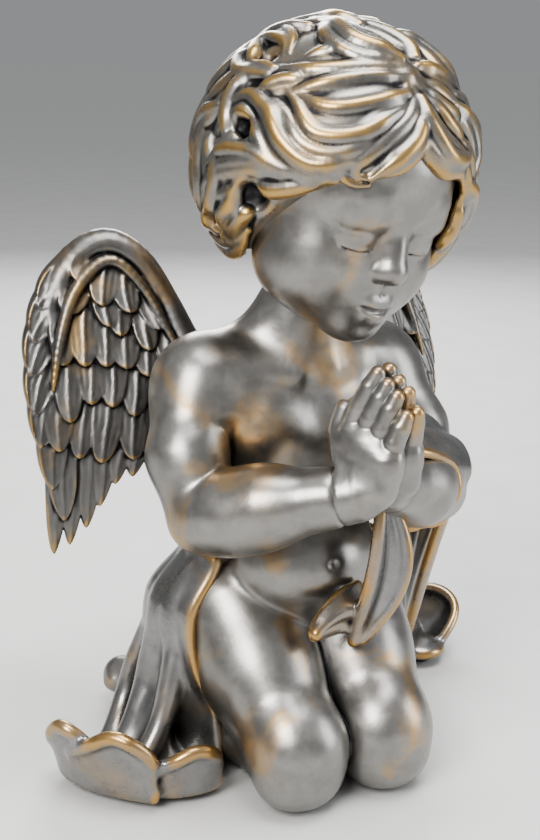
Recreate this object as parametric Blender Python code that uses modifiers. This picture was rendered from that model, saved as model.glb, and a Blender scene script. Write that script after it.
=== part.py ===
"""Kneeling, praying winged cherub: a cold-cast resin figurine built as an assembly.

Figure frame while modelling: the figure faces -Y, +X is its own left, +Z is up,
z = 0 is the underside of the felt pads. All the numbers below are millimetres.
At the end everything is moved so that the origin is under the middle of the
object's bounding box.
"""
import math

import bmesh
import bpy
from mathutils import Matrix, Vector

MM = 0.001
GAP = 0.35            # glue gap between two castings
PAD_T = 1.2           # felt thickness
BASE_Z = 1.6          # underside of the resin, above the felt
WALL_HOLE_R = 8.5     # pour hole in the base
PLUG_R = 8.1
PLUG_T = 5.0
PIN_R = 1.25          # steel pins in the wing roots, the neck and the shoulders
CLOTH_T = 2.6         # thickness of the cast drapery

for old in list(bpy.data.objects):
    bpy.data.objects.remove(old, do_unlink=True)

figure = bpy.data.collections.new("kneeling_cherub")
helpers = bpy.data.collections.new("cutters")
bpy.context.scene.collection.children.link(figure)
bpy.context.scene.collection.children.link(helpers)


# ------------------------------------------------------------------ materials
def material(name, colour, roughness, metallic):
    m = bpy.data.materials.new(name)
    m.use_nodes = True
    b = m.node_tree.nodes["Principled BSDF"]
    b.inputs["Base Color"].default_value = (*colour, 1.0)
    b.inputs["Roughness"].default_value = roughness
    b.inputs["Metallic"].default_value = metallic
    return m


SKIN = material("silver_gold_resin", (0.50, 0.48, 0.46), 0.36, 0.85)
HAIR = material("gold_rubbed_resin", (0.56, 0.50, 0.40), 0.34, 0.85)
WING = material("dark_feather_resin", (0.26, 0.25, 0.24), 0.42, 0.8)
CLOTH = material("drapery_resin", (0.42, 0.42, 0.43), 0.30, 0.85)
STEEL = material("pin_steel", (0.62, 0.62, 0.63), 0.30, 1.0)
FELT = material("black_felt", (0.03, 0.03, 0.03), 0.95, 0.0)
BUNG = material("bung_rubber", (0.05, 0.05, 0.05), 0.7, 0.0)


# -------------------------------------------------------------------- helpers
def vec(p):
    return Vector(p) * MM


def blob(bm, centre, radii, turn=(0, 0, 0), seg=22, rings=14):
    """An ellipsoid, turned by Euler angles in degrees."""
    rot = Matrix.Rotation(math.radians(turn[2]), 4, "Z") @ Matrix.Rotation(
        math.radians(turn[1]), 4, "Y"
    ) @ Matrix.Rotation(math.radians(turn[0]), 4, "X")
    size = Matrix.Diagonal((*(r * MM for r in radii), 1.0))
    bmesh.ops.create_uvsphere(
        bm, u_segments=seg, v_segments=rings, radius=1.0,
        matrix=Matrix.Translation(vec(centre)) @ rot @ size,
    )


def limb(bm, a, b, ra, rb, steps=6, seg=20):
    """A tapering limb: a cone with a ball at each end and two in the middle."""
    a, b = Vector(a), Vector(b)
    axis = b - a
    turn = axis.to_track_quat("Z", "Y").to_matrix().to_4x4()
    bmesh.ops.create_cone(
        bm, cap_ends=True, segments=seg, radius1=ra * MM, radius2=rb * MM,
        depth=axis.length * MM,
        matrix=Matrix.Translation(vec((a + b) / 2)) @ turn,
    )
    for i in range(steps + 1):
        t = i / steps
        r = (ra + (rb - ra) * t)
        if i in (0, steps):
            blob(bm, a.lerp(b, t), (r, r, r), seg=seg, rings=12)


def tube(bm, points, radii):
    """A tapering tube through the points, as a bevelled curve made a mesh."""
    cu = bpy.data.curves.new("tube", "CURVE")
    cu.dimensions = "3D"
    cu.bevel_depth = MM
    cu.bevel_resolution = 2
    cu.resolution_u = 6
    cu.use_fill_caps = True
    sp = cu.splines.new("NURBS")
    sp.points.add(len(points) - 1)
    for k, (p, r) in enumerate(zip(points, radii)):
        sp.points[k].co = (*vec(p), 1.0)
        sp.points[k].radius = r
    sp.order_u = min(4, len(points))
    sp.use_endpoint_u = True
    ob = bpy.data.objects.new("tube", cu)
    bpy.context.scene.collection.objects.link(ob)
    bpy.context.view_layer.update()
    me = bpy.data.meshes.new_from_object(ob.evaluated_get(bpy.context.evaluated_depsgraph_get()))
    bm.from_mesh(me)
    bpy.data.objects.remove(ob, do_unlink=True)
    bpy.data.meshes.remove(me)


def link(name, me, mat=None, where=figure):
    ob = bpy.data.objects.new(name, me)
    where.objects.link(ob)
    if mat:
        ob.data.materials.clear()
        ob.data.materials.append(mat)
    return ob


def settle(ob):
    """Applies the object's modifiers, so that its mesh can be cut by others."""
    bpy.context.view_layer.update()
    graph = bpy.context.evaluated_depsgraph_get()
    me = bpy.data.meshes.new_from_object(ob.evaluated_get(graph))
    old = ob.data
    ob.modifiers.clear()
    ob.data = me
    bpy.data.meshes.remove(old)
    return ob


def cast(name, bm, mat, voxel, smooth, faces):
    """Joins the shapes in bm into one casting: voxel remesh, smooth, decimate."""
    me = bpy.data.meshes.new(name)
    bm.to_mesh(me)
    bm.free()
    ob = link(name, me, mat)
    m = ob.modifiers.new("join", "REMESH")
    m.mode = "VOXEL"
    m.voxel_size = voxel * MM
    if smooth:
        s = ob.modifiers.new("soften", "SMOOTH")
        s.factor = 0.5
        s.iterations = smooth
    settle(ob)
    tris = sum(len(p.vertices) - 2 for p in ob.data.polygons)
    d = ob.modifiers.new("thin", "DECIMATE")
    d.ratio = min(1.0, faces / tris)
    settle(ob)
    keep_largest(ob)
    ob.data.materials.clear()
    ob.data.materials.append(mat)
    ob.data.shade_smooth()
    return ob


def keep_largest(ob):
    """Drops crumbs that a cut or a remesh left loose beside the casting."""
    bm = bmesh.new()
    bm.from_mesh(ob.data)
    left = set(bm.verts)
    groups = []
    while left:
        start = left.pop()
        seen, todo = {start}, [start]
        while todo:
            for e in todo.pop().link_edges:
                for v in e.verts:
                    if v not in seen:
                        seen.add(v)
                        todo.append(v)
        left -= seen
        groups.append(seen)
    groups.sort(key=len, reverse=True)
    for g in groups[1:]:
        bmesh.ops.delete(bm, geom=list(g), context="VERTS")
    bm.to_mesh(ob.data)
    bm.free()


def grown(ob, gap=GAP):
    """A copy of a casting, larger by the gap all round, as a cutter."""
    bm = bmesh.new()
    bm.from_mesh(ob.data)
    bmesh.ops.triangulate(bm, faces=bm.faces)
    bm.normal_update()
    for v in bm.verts:
        v.co += v.normal * gap * MM * min(1.6, v.calc_shell_factor())
    me = bpy.data.meshes.new(ob.name + "_room")
    bm.to_mesh(me)
    bm.free()
    cutter = link(ob.name + "_room", me, None, helpers)
    cutter.hide_render = True
    cutter.display_type = "WIRE"
    return cutter


def volume(me):
    bm = bmesh.new()
    bm.from_mesh(me)
    v = bm.calc_volume(signed=True) / MM**3
    bm.free()
    return v


def cut(ob, *cutters):
    """Cuts each cutter out of the casting. Where two surfaces cross themselves and
    the first try leaves the casting whole or empty, it's made again tolerantly."""
    for c in cutters:
        start = ob.data.copy()
        before = volume(start)
        best = None
        for tolerant, own in ((False, False), (True, False), (False, True), (True, True)):
            ob.data = start.copy()
            b = ob.modifiers.new("cut_" + c.name, "BOOLEAN")
            b.operation = "DIFFERENCE"
            b.solver = "EXACT"
            b.use_hole_tolerant = tolerant
            b.use_self = own
            b.object = c
            settle(ob)
            after = volume(ob.data)
            if 0.3 * before < after < before - 0.01:
                best = ob.data
                break
            best = best or (ob.data if abs(after - before) < 0.5 else None)
        ob.data = best or start
    keep_largest(ob)
    return ob


def box_cutter(name, lo, hi):
    bm = bmesh.new()
    bmesh.ops.create_cube(bm, size=1.0)
    for v in bm.verts:
        v.co = Vector([(lo[k] if v.co[k] < 0 else hi[k]) * MM for k in range(3)])
    me = bpy.data.meshes.new(name)
    bm.to_mesh(me)
    bm.free()
    c = link(name, me, None, helpers)
    c.hide_render = True
    c.display_type = "WIRE"
    return c


def rod(name, a, b, r, mat, where=figure, seg=16):
    a, b = Vector(a), Vector(b)
    bm = bmesh.new()
    turn = (b - a).to_track_quat("Z", "Y").to_matrix().to_4x4()
    bmesh.ops.create_cone(
        bm, cap_ends=True, segments=seg, radius1=r * MM, radius2=r * MM,
        depth=(b - a).length * MM, matrix=Matrix.Translation(vec((a + b) / 2)) @ turn,
    )
    me = bpy.data.meshes.new(name)
    bm.to_mesh(me)
    bm.free()
    ob = link(name, me, mat, where)
    if where is helpers:
        ob.hide_render = True
        ob.display_type = "WIRE"
    return ob


# ------------------------------------------------- skeleton of the pose, in mm
NECK_SPLIT = 134.0
HEAD = Vector((4.5, -12.5, 174.0))         # middle of the skull
HEAD_TURN = (17.0, 7.0, 12.0)              # bowed, leaning to its left, turned left
SHOULDER = (29.5, 6.0, 118.5)
ELBOW = (36.0, -12.0, 84.5)
WRIST = (8.5, -39.5, 97.5)
HIP = (17.5, 5.0, 49.0)
KNEE = (14.2, -27.5, 16.4)
ANKLE = (18.0, 36.0, 11.0)
PALMS = Vector((0.5, -43.0, 106.0))        # middle of the joined hands
PALM_YAW = 25.0                            # the joined hands point to its left


def side(p, s):
    return (p[0] * s, p[1], p[2])


# ---------------------------------------------------------- torso_legs casting
def make_torso():
    bm = bmesh.new()
    blob(bm, (0, 9, 49), (29, 23, 20))
    blob(bm, (0, -2, 66), (24, 20, 19))
    blob(bm, (0, 4, 80), (24, 17, 16))
    blob(bm, (0, 5, 99), (28, 18, 24))
    limb(bm, (-26, 6, 119), (26, 6, 119), 11, 11)
    limb(bm, (1, 4, 120), (2, -1, 142), 14, 12)
    for s in (-1, 1):
        limb(bm, (23 * s, 7, 121), (4 * s, 3, 134), 9.5, 10)
        blob(bm, (12 * s, -7, 108), (13, 9, 11))
        blob(bm, (14 * s, 18, 110), (11, 7, 14))
        blob(bm, (13 * s, 26, 39), (17, 17, 18))
        limb(bm, side(HIP, s), side(KNEE, s), 19.0, 14.8)
        limb(bm, (15 * s, -22, 13.5), side(ANKLE, s), 11.5, 9.5)
    limb(bm, (-19, 38, 10.5), (-33, 57, 8.5), 8.5, 6.0)
    limb(bm, (19, 38, 10.5), (14, 59, 8.5), 8.5, 6.0)
    blob(bm, (0, 8, 16), (18, 27, 15))
    return cast("torso_and_legs", bm, SKIN, 2.2, 6, 1900)


# ------------------------------------------------------------- arms with hands
def palm_point(x, y, z):
    """A point in the joined hands: x off the palm plane, y to the thumbs, z up."""
    return PALMS + Matrix.Rotation(math.radians(PALM_YAW), 3, "Z") @ Vector((x, y, z))


def make_arm(name, s):
    bm = bmesh.new()
    mid = (37.0 * s, -3, 100)
    fore = (24 * s, -27, 90.5)
    limb(bm, (22 * s, 6, 117), side(SHOULDER, s), 8.5, 11.5)
    limb(bm, side(SHOULDER, s), mid, 11.6, 10.6)
    limb(bm, mid, side(ELBOW, s), 10.6, 10.8)
    limb(bm, side(ELBOW, s), fore, 10.8, 10.6)
    wrist = palm_point(6.5 * s, 2, -9.5)
    limb(bm, fore, wrist, 10.4, 7.4)
    # the palm, with its flat side on the middle plane, and the four fingers
    blob(bm, palm_point(5.0 * s, 0, 0), (6.0, 12.0, 12.0), turn=(-22, 0, PALM_YAW))
    for k in range(4):
        y0, z0 = 7.0 - 4.8 * k, 7.0 - 2.4 * k
        y1, z1 = -1.0 - 4.4 * k, 23.0 - 3.4 * k - (1.5 if k == 3 else 0)
        limb(bm, palm_point(4.0 * s, y0, z0), palm_point(3.0 * s, y1, z1), 3.3, 2.6, seg=12)
    limb(bm, palm_point(5.5 * s, 9, -3), palm_point(3.2 * s, 8.5, 12), 3.8, 2.7, seg=12)
    ob = cast(name, bm, SKIN, 1.1, 2, 900)
    # each hand stops at the middle plane, where the palms are glued together
    lo, hi = ((-40, -40, -30), (0.18, 25, 45)) if s > 0 else ((-0.18, -40, -30), (40, 25, 45))
    plane = box_cutter(name + "_palm_plane", lo, hi)
    plane.data.transform(Matrix.Translation(PALMS * MM) @ Matrix.Rotation(math.radians(PALM_YAW), 4, "Z"))
    return cut(ob, plane)


# ------------------------------------------------------------ head with hair
def head_point(x, y, z):
    """A point given in the head's own axes: x its left, y back, z up."""
    rot = Matrix.Rotation(math.radians(HEAD_TURN[2]), 3, "Z") @ Matrix.Rotation(
        math.radians(HEAD_TURN[1]), 3, "Y"
    ) @ Matrix.Rotation(math.radians(HEAD_TURN[0]), 3, "X")
    return HEAD + rot @ Vector((x, y, z))


def on_scalp(lon, lat, lift=0.0):
    """A point on the scalp: lon 0 is the face, 90 its left; lat 90 the crown."""
    a, b = math.radians(lon), math.radians(lat)
    rx, ry, rz = 33.5 + lift, 33.5 + lift, 34.5 + lift
    return head_point(
        rx * math.sin(a) * math.cos(b), 4 - ry * math.cos(a) * math.cos(b), 5 + rz * math.sin(b)
    )


def make_head():
    bm = bmesh.new()
    turn = HEAD_TURN

    def at(p, r):
        blob(bm, head_point(*p), r, turn=turn)

    at((0, 3, 5), (28, 31, 30))          # cranium
    at((0, -6, -9), (24.5, 20, 22))      # face
    at((0, -15, -27), (11, 9, 8.5))      # chin
    for s in (-1, 1):
        at((12 * s, -13, -17), (11, 10, 11))   # cheeks
    at((0, -26.5, -11), (3.5, 4, 4))     # nose
    limb(bm, (2, 1, 128), head_point(0, 8, -14), 12.4, 13)
    # hair: a thick cap and rings of curls that end above the shoulders
    at((0, 6, 10), (35.5, 34.5, 31.5))
    for k in range(17):
        lon = 50 + k * (260 / 16)
        wave = 9 * math.sin(2.4 * k)
        low = -26 - 6 * math.sin(1.7 * k) + 16 * max(0.0, 1 - k / 4)
        pts = [on_scalp(lon + wave * j, 72 - 24 * j, 2.0 + 2.0 * math.sin(j * 1.9 + k)) for j in range(4)]
        pts.append(on_scalp(lon + wave, low, 3.5))
        tube(bm, pts, [3.5, 6.0, 7.0, 6.5, 3.6])
    for k in range(8):
        lon = -66 + k * (120 / 7)
        pts = [on_scalp(lon * 0.35 + 4, 84, 2), on_scalp(lon * 0.8, 64, 4), on_scalp(lon, 46, 4), on_scalp(lon + 8, 31, 2)]
        tube(bm, pts, [3.5, 5.5, 6.0, 3.4])
    ob = cast("head_and_curls", bm, HAIR, 1.5, 2, 1900)
    # flat neck face, glued to the torso over a steel pin
    cut(ob, box_cutter("neck_plane", (-60, -60, 60), (60, 60, NECK_SPLIT + GAP)))
    return ob


# -------------------------------------------------------------------- wings
def feather(bm, base, tip, width, thick, normal, bow=0.0):
    """One feather: a flattened, pointed ellipsoid from base to tip."""
    base, tip, normal = Vector(base), Vector(tip), Vector(normal).normalized()
    axis = tip - base
    across = axis.cross(normal).normalized()
    mat = Matrix((across, axis.normalized(), normal)).transposed().to_4x4()
    seg = Matrix.Diagonal((width * MM, axis.length / 2 * MM, thick * MM, 1.0))
    centre = (base + tip) / 2 + normal * bow
    bmesh.ops.create_uvsphere(
        bm, u_segments=16, v_segments=10, radius=1.0,
        matrix=Matrix.Translation(vec(centre)) @ mat @ seg,
    )


def make_wing(name, s):
    """The wing stands nearly square to the back; its upper half leans backwards."""
    face = Vector((0.20 * s, -0.98, 0.0))     # out of the wing's front

    def w(a, z, n=0.0):
        """a millimetres out to the side of the root, at height z, n in front."""
        return Vector(((14 + a) * s, 20 + 0.22 * a + 0.32 * max(0.0, z - 100), z)) + face * n

    bm = bmesh.new()
    # the arm of the wing: root, wrist at the top, and the outer edge
    tube(bm, [w(-7, 104), w(2, 112), w(9, 126), w(14, 139), w(20, 151), w(28, 155.5), w(38, 151), w(46, 139), w(50, 124)],
         [5.0, 6.5, 5.5, 4.6, 4.6, 4.6, 4.2, 3.6, 2.5])
    feather(bm, w(25, 154, -1), w(26, 108, -1), 11.0, 2.0, face)
    feather(bm, w(12, 138, -1), w(12, 96, -1), 8.0, 2.0, face)
    # the long flight feathers hang down from it, longest outside
    for k in range(8):
        t = k / 7
        top = w(48 - 36 * t, 132 - 18 * t, -1.0)
        end = w(50 - 34 * t + 3 * math.sin(3 * t), 62 + 26 * t ** 0.8, -1.0)
        feather(bm, top, end, 5.4, 1.8, face)
    for k in range(5):
        t = k / 4
        feather(bm, w(47 + 1 * t, 146 - 26 * t, 0.0), w(52 + 5 * t, 126 - 28 * t, 0.0), 4.6, 1.8, face)
    # two rows of covert feathers lie in front of them
    for k in range(6):
        t = k / 5
        feather(bm, w(47 - 38 * t, 140 - 22 * t, 1.0), w(50 - 38 * t, 96 + 2 * t, 1.2), 5.6, 1.7, face)
    for k in range(6):
        t = k / 5
        feather(bm, w(40 - 32 * t, 150 - 26 * t, 2.0), w(44 - 34 * t, 117 - 8 * t, 2.4), 5.4, 1.7, face)
    return cast(name, bm, WING, 1.0, 1, 1200)


def make_wing_pin(name, s):
    return rod(name, (7.5 * s, 15.5, 103.5), (18.5 * s, 20.9, 113.0), PIN_R, STEEL)


# ----------------------------------------------------------------- drapery
def sheet(name, fn, nu, nv, mat, thick=CLOTH_T, voxel=1.1, smooth=2, faces=1800):
    """A cloth: a grid bent by fn(u, v), given its thickness, and closed."""
    bm = bmesh.new()
    bmesh.ops.create_grid(bm, x_segments=nu, y_segments=nv, size=0.5)
    for v in bm.verts:
        v.co = vec(fn(v.co.x + 0.5, v.co.y + 0.5))
    me = bpy.data.meshes.new(name)
    bm.to_mesh(me)
    bm.free()
    ob = link(name, me, mat)
    m = ob.modifiers.new("thickness", "SOLIDIFY")
    m.thickness = thick * MM
    m.offset = 0.0
    settle(ob)
    bm = bmesh.new()
    bm.from_mesh(ob.data)
    bpy.data.objects.remove(ob, do_unlink=True)
    return bm


def smoothstep(a, b, x):
    t = max(0.0, min(1.0, (x - a) / (b - a)))
    return t * t * (3 - 2 * t)


def train(u, v):
    """Cloth behind the figure: u from its right hip round the back to the left,
    v from the waist down to the floor, where its right end turns up."""
    ang = math.radians(-112 + 206 * u)            # -90 is its right side, 0 the back
    full = smoothstep(0.0, 0.28, v)               # out over the seat at once
    flare = smoothstep(0.2, 1.0, v)
    end = 1 - smoothstep(0.0, 0.30, u)
    back = max(0.0, math.cos(ang)) ** 1.5
    rx = 29.5 + 4 * full + (9 + 10 * end) * flare
    ry = 25.0 + 15 * full * back + 12 * flare
    fold = 1.8 * math.sin(u * 34 + 1.5 * v) * (0.2 + flare)
    x = (rx + fold) * math.sin(ang)
    y = 7 + (ry + fold) * math.cos(ang)
    z = 66 - 61 * v
    return (x, y, z + 0.5)


def hem_curl(u, v):
    """The upturned end of the train on its right: u along the hem, v up the rim."""
    path = [(-31, -11), (-38, -16), (-47, -16.5), (-56, -13), (-64, -6), (-70, 3), (-72, 14), (-66, 22)]
    k = min(6.999, u * 7)
    i = int(k)
    a, b = Vector(path[i]), Vector(path[i + 1])
    p = a.lerp(b, k - i)
    inward = Vector((-40.0, 18.0)) - p
    inward.normalize()
    if v < 0.5:
        out, z = 18 * (1 - v / 0.5), 3.2
    else:
        t = (v - 0.5) / 0.5
        out, z = -1.5 * t, 3.2 + 14.0 * t * (0.8 + 0.2 * math.cos(3.1 * math.pi * u))
    q = p + inward * (out + 1.5)
    return (q.x, q.y, z)


def make_train():
    bm = sheet("t", train, 44, 16, CLOTH, 3.2)
    b2 = sheet("h", hem_curl, 26, 10, CLOTH, 3.0)
    me = bpy.data.meshes.new("tmp")
    b2.to_mesh(me)
    b2.free()
    bm.from_mesh(me)
    bpy.data.meshes.remove(me)
    blob(bm, (-50, 9, 6), (13, 15, 5))
    limb(bm, (-39, 6, 26), (-47, 6, 8), 4.5, 6.5)
    return cast("back_train", bm, CLOTH, 1.3, 3, 1500)


def make_elbow_drape():
    """Cloth over the left elbow, falling behind it to a curled end on the floor."""
    def wrap(u, v):
        a, b = Vector((37, -3, 99)), Vector((27, -25, 92))
        c = a.lerp(b, v)
        ang = math.radians(-115 + 215 * u)
        r = 12.4 + 0.8 * math.sin(u * 26)
        # outward (+X), forward (-Y) and up (+Z) round the arm
        return (c.x + r * math.cos(ang) * 0.95, c.y - r * math.cos(ang) * 0.4, c.z - 4 + r * math.sin(ang) * 0.95)

    def fall(u, v):
        p0 = Vector((48 - 5 * u, -22 + 28 * u, 92 - 8 * u))
        p1 = Vector((52 - 4 * u, -8 + 24 * u, 40))
        p2 = Vector((62 + 14 * u, 30 + 14 * u, 6.5))
        p = p0.lerp(p1, v).lerp(p1.lerp(p2, v), v)
        f = 1.6 * math.sin(u * 13) * math.sin(math.pi * v)
        return (p.x + f, p.y, p.z)

    def scroll(u, v):
        # an open curl standing on the floor
        ang = math.radians(-200 + 250 * v)
        base = Vector((60, 28, 0)).lerp(Vector((84, 50, 0)), u)
        dirn = Vector((-0.64, 0.77, 0))
        r = 8.0
        return tuple(base + dirn * r * math.cos(ang) + Vector((0, 0, 11.0 + r * math.sin(ang))))

    bm = sheet("w", wrap, 26, 10, CLOTH, 2.8)
    for nm, fn, a, b in (("f", fall, 14, 22), ("s", scroll, 12, 14)):
        other = sheet(nm, fn, a, b, CLOTH, 3.2)
        me = bpy.data.meshes.new("tmp")
        other.to_mesh(me)
        other.free()
        bm.from_mesh(me)
        bpy.data.meshes.remove(me)
    return cast("elbow_drape", bm, CLOTH, 1.3, 3, 1300)


def make_lap_drape():
    """The front end of the cloth, from the left forearm down over the lap."""
    def fall(u, v):
        w = 3.5 + 5.5 * math.sin(math.pi * min(1.0, v * 1.15)) ** 0.8
        c = Vector((13, -28, 86)).lerp(Vector((8, -26, 52)), v)
        x = c.x + (2 * u - 1) * w
        return (x, c.y - 2.0 * math.sin(math.pi * u) - 3 * math.sin(math.pi * v), c.z)

    def lap(u, v):
        c = Vector((8, -22, 62)).lerp(Vector((-6, -26, 52)), u)
        return (c.x, c.y - 3 * math.sin(math.pi * v), c.z + 5 - 13 * v)

    bm = sheet("l", fall, 12, 22, CLOTH, 3.2)
    other = sheet("m", lap, 10, 10, CLOTH, 3.0)
    me = bpy.data.meshes.new("tmp")
    other.to_mesh(me)
    other.free()
    bm.from_mesh(me)
    bpy.data.meshes.remove(me)
    return cast("lap_drape", bm, CLOTH, 1.1, 2, 600)


# ------------------------------------------------------------------ assembly
torso = make_torso()
right_arm = make_arm("right_arm_and_hand", -1)
left_arm = make_arm("left_arm_and_hand", 1)
head = make_head()
right_wing = make_wing("right_wing", -1)
left_wing = make_wing("left_wing", 1)
back_train = make_train()
elbow_drape = make_elbow_drape()
lap_drape = make_lap_drape()

pins = [
    make_wing_pin("right_wing_pin", -1),
    make_wing_pin("left_wing_pin", 1),
    rod("neck_pin", (2, 2, 123), (3, -2, 146), 1.6, STEEL),
    rod("right_shoulder_pin", (-9, 6, 117), (-29, 6, 118.5), PIN_R, STEEL),
    rod("left_shoulder_pin", (9, 6, 117), (29, 6, 118.5), PIN_R, STEEL),
]
pin_room = [grown(p, 0.3) for p in pins]
room = {ob.name: grown(ob) for ob in (right_arm, left_arm, head, right_wing, left_wing)}

# the hollow inside the casting, open at the pour hole
core = bmesh.new()
limb(core, (0, 7, 30), (0, 5, 92), 13.5, 10.5)
limb(core, (0, 6, 92), (0, 5, 104), 10.5, 7.0)
cavity = cast("cavity", core, SKIN, 2.2, 2, 260)
figure.objects.unlink(cavity)
helpers.objects.link(cavity)
cavity.hide_render = True
cavity.display_type = "WIRE"
hole = rod("pour_hole", (0, 8, -6), (0, 8, 30), WALL_HOLE_R, None, helpers, seg=28)

under = box_cutter("floor_cut", (-150, -150, -40), (150, 150, BASE_Z))
neck_cut = box_cutter("neck_top_cut", (-60, -60, NECK_SPLIT), (60, 60, 200))
cut(torso, neck_cut, under, cavity, hole)
cut(torso, *(room[ob.name] for ob in (right_wing, left_wing, right_arm, left_arm)))
torso_room = grown(torso)
cut(back_train, under, torso_room)
train_room = grown(back_train)
cut(elbow_drape, under, torso_room, room[left_arm.name], train_room)
elbow_room = grown(elbow_drape)
cut(lap_drape, torso_room, room[left_arm.name], room[right_arm.name], elbow_room)
cut(head, room[right_wing.name], room[left_wing.name])

cut(torso, *pin_room)
cut(right_wing, pin_room[0])
cut(left_wing, pin_room[1])
cut(head, pin_room[2])
cut(right_arm, pin_room[3])
cut(left_arm, pin_room[4])

plug = rod("pour_hole_plug", (0, 8, BASE_Z + 0.4), (0, 8, BASE_Z + 0.4 + PLUG_T), PLUG_R, BUNG, seg=28)

PADS = {
    "right_knee_pad": (-15, -23, 5.5),
    "left_knee_pad": (15, -23, 5.5),
    "right_foot_pad": (-19, 32, 5.0),
    "left_foot_pad": (19, 32, 5.0),
    "right_hem_pad": (-50, 4, 5.0),
    "left_curl_pad": (74, 40, 3.6),
}
for name, (x, y, r) in PADS.items():
    rod(name, (x, y, 0), (x, y, PAD_T), r, FELT, seg=24)

# --------------------------------------------- origin under the object's middle
bpy.context.view_layer.update()
lo = Vector((1e9,) * 3)
hi = Vector((-1e9,) * 3)
for ob in figure.objects:
    for v in ob.data.vertices:
        lo = Vector(map(min, lo, v.co))
        hi = Vector(map(max, hi, v.co))
shift = Vector((-(lo.x + hi.x) / 2, -(lo.y + hi.y) / 2, -lo.z))
for ob in list(figure.objects) + list(helpers.objects):
    ob.location = shift
print("shift_mm", [round(c / MM, 4) for c in shift])
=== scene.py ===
"""The finished look of the kneeling resin cherub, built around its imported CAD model.

The castings are sculpted as distance fields, in millimetres, in the figure frame
that the CAD part uses: the figure faces -Y, +X is its own left, z = 0 is the floor.
Each field is meshed here and moved to the row frame by SHIFT.
"""
import math

import bpy
import numpy as np
from mathutils import Matrix, Vector


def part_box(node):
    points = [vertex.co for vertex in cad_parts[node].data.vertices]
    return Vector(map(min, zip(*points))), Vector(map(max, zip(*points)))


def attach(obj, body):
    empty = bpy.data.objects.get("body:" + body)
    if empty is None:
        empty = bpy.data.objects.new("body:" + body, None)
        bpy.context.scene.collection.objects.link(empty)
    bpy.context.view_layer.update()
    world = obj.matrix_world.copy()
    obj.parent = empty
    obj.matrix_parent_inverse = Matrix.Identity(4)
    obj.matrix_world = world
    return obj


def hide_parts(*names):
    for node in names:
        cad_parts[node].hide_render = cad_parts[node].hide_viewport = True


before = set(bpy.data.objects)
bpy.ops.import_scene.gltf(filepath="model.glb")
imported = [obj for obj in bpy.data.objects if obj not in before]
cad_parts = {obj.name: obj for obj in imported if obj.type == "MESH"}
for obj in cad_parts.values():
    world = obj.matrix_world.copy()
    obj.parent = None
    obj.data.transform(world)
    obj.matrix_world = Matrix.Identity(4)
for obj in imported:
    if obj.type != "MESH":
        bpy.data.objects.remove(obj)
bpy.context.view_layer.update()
low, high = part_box("right_knee_pad")
SHIFT = np.array([500 * (low.x + high.x) + 15.0, 500 * (low.y + high.y) + 23.0, 0.0])
COARSE = 1.0
f32 = np.float32


# =============================================================== distance fields
def arr(p):
    return np.asarray(p, float)


def rotation(rx, ry, rz):
    """Rotation by Euler angles in degrees, X first."""
    a, b, c = (math.radians(t) for t in (rx, ry, rz))
    mx = np.array([[1, 0, 0], [0, math.cos(a), -math.sin(a)], [0, math.sin(a), math.cos(a)]])
    my = np.array([[math.cos(b), 0, math.sin(b)], [0, 1, 0], [-math.sin(b), 0, math.cos(b)]])
    mz = np.array([[math.cos(c), -math.sin(c), 0], [math.sin(c), math.cos(c), 0], [0, 0, 1]])
    return mz @ my @ mx


def smooth_min(a, b, k):
    h = np.maximum(k - np.abs(a - b), 0)
    return np.minimum(a, b) - h * h * (0.25 / k)


def smooth_max(a, b, k):
    h = np.maximum(k - np.abs(a - b), 0)
    return np.maximum(a, b) + h * h * (0.25 / k)


def step(a, b, x):
    t = np.clip((x - a) / (b - a), 0, 1)
    return t * t * (3 - 2 * t)


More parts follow.
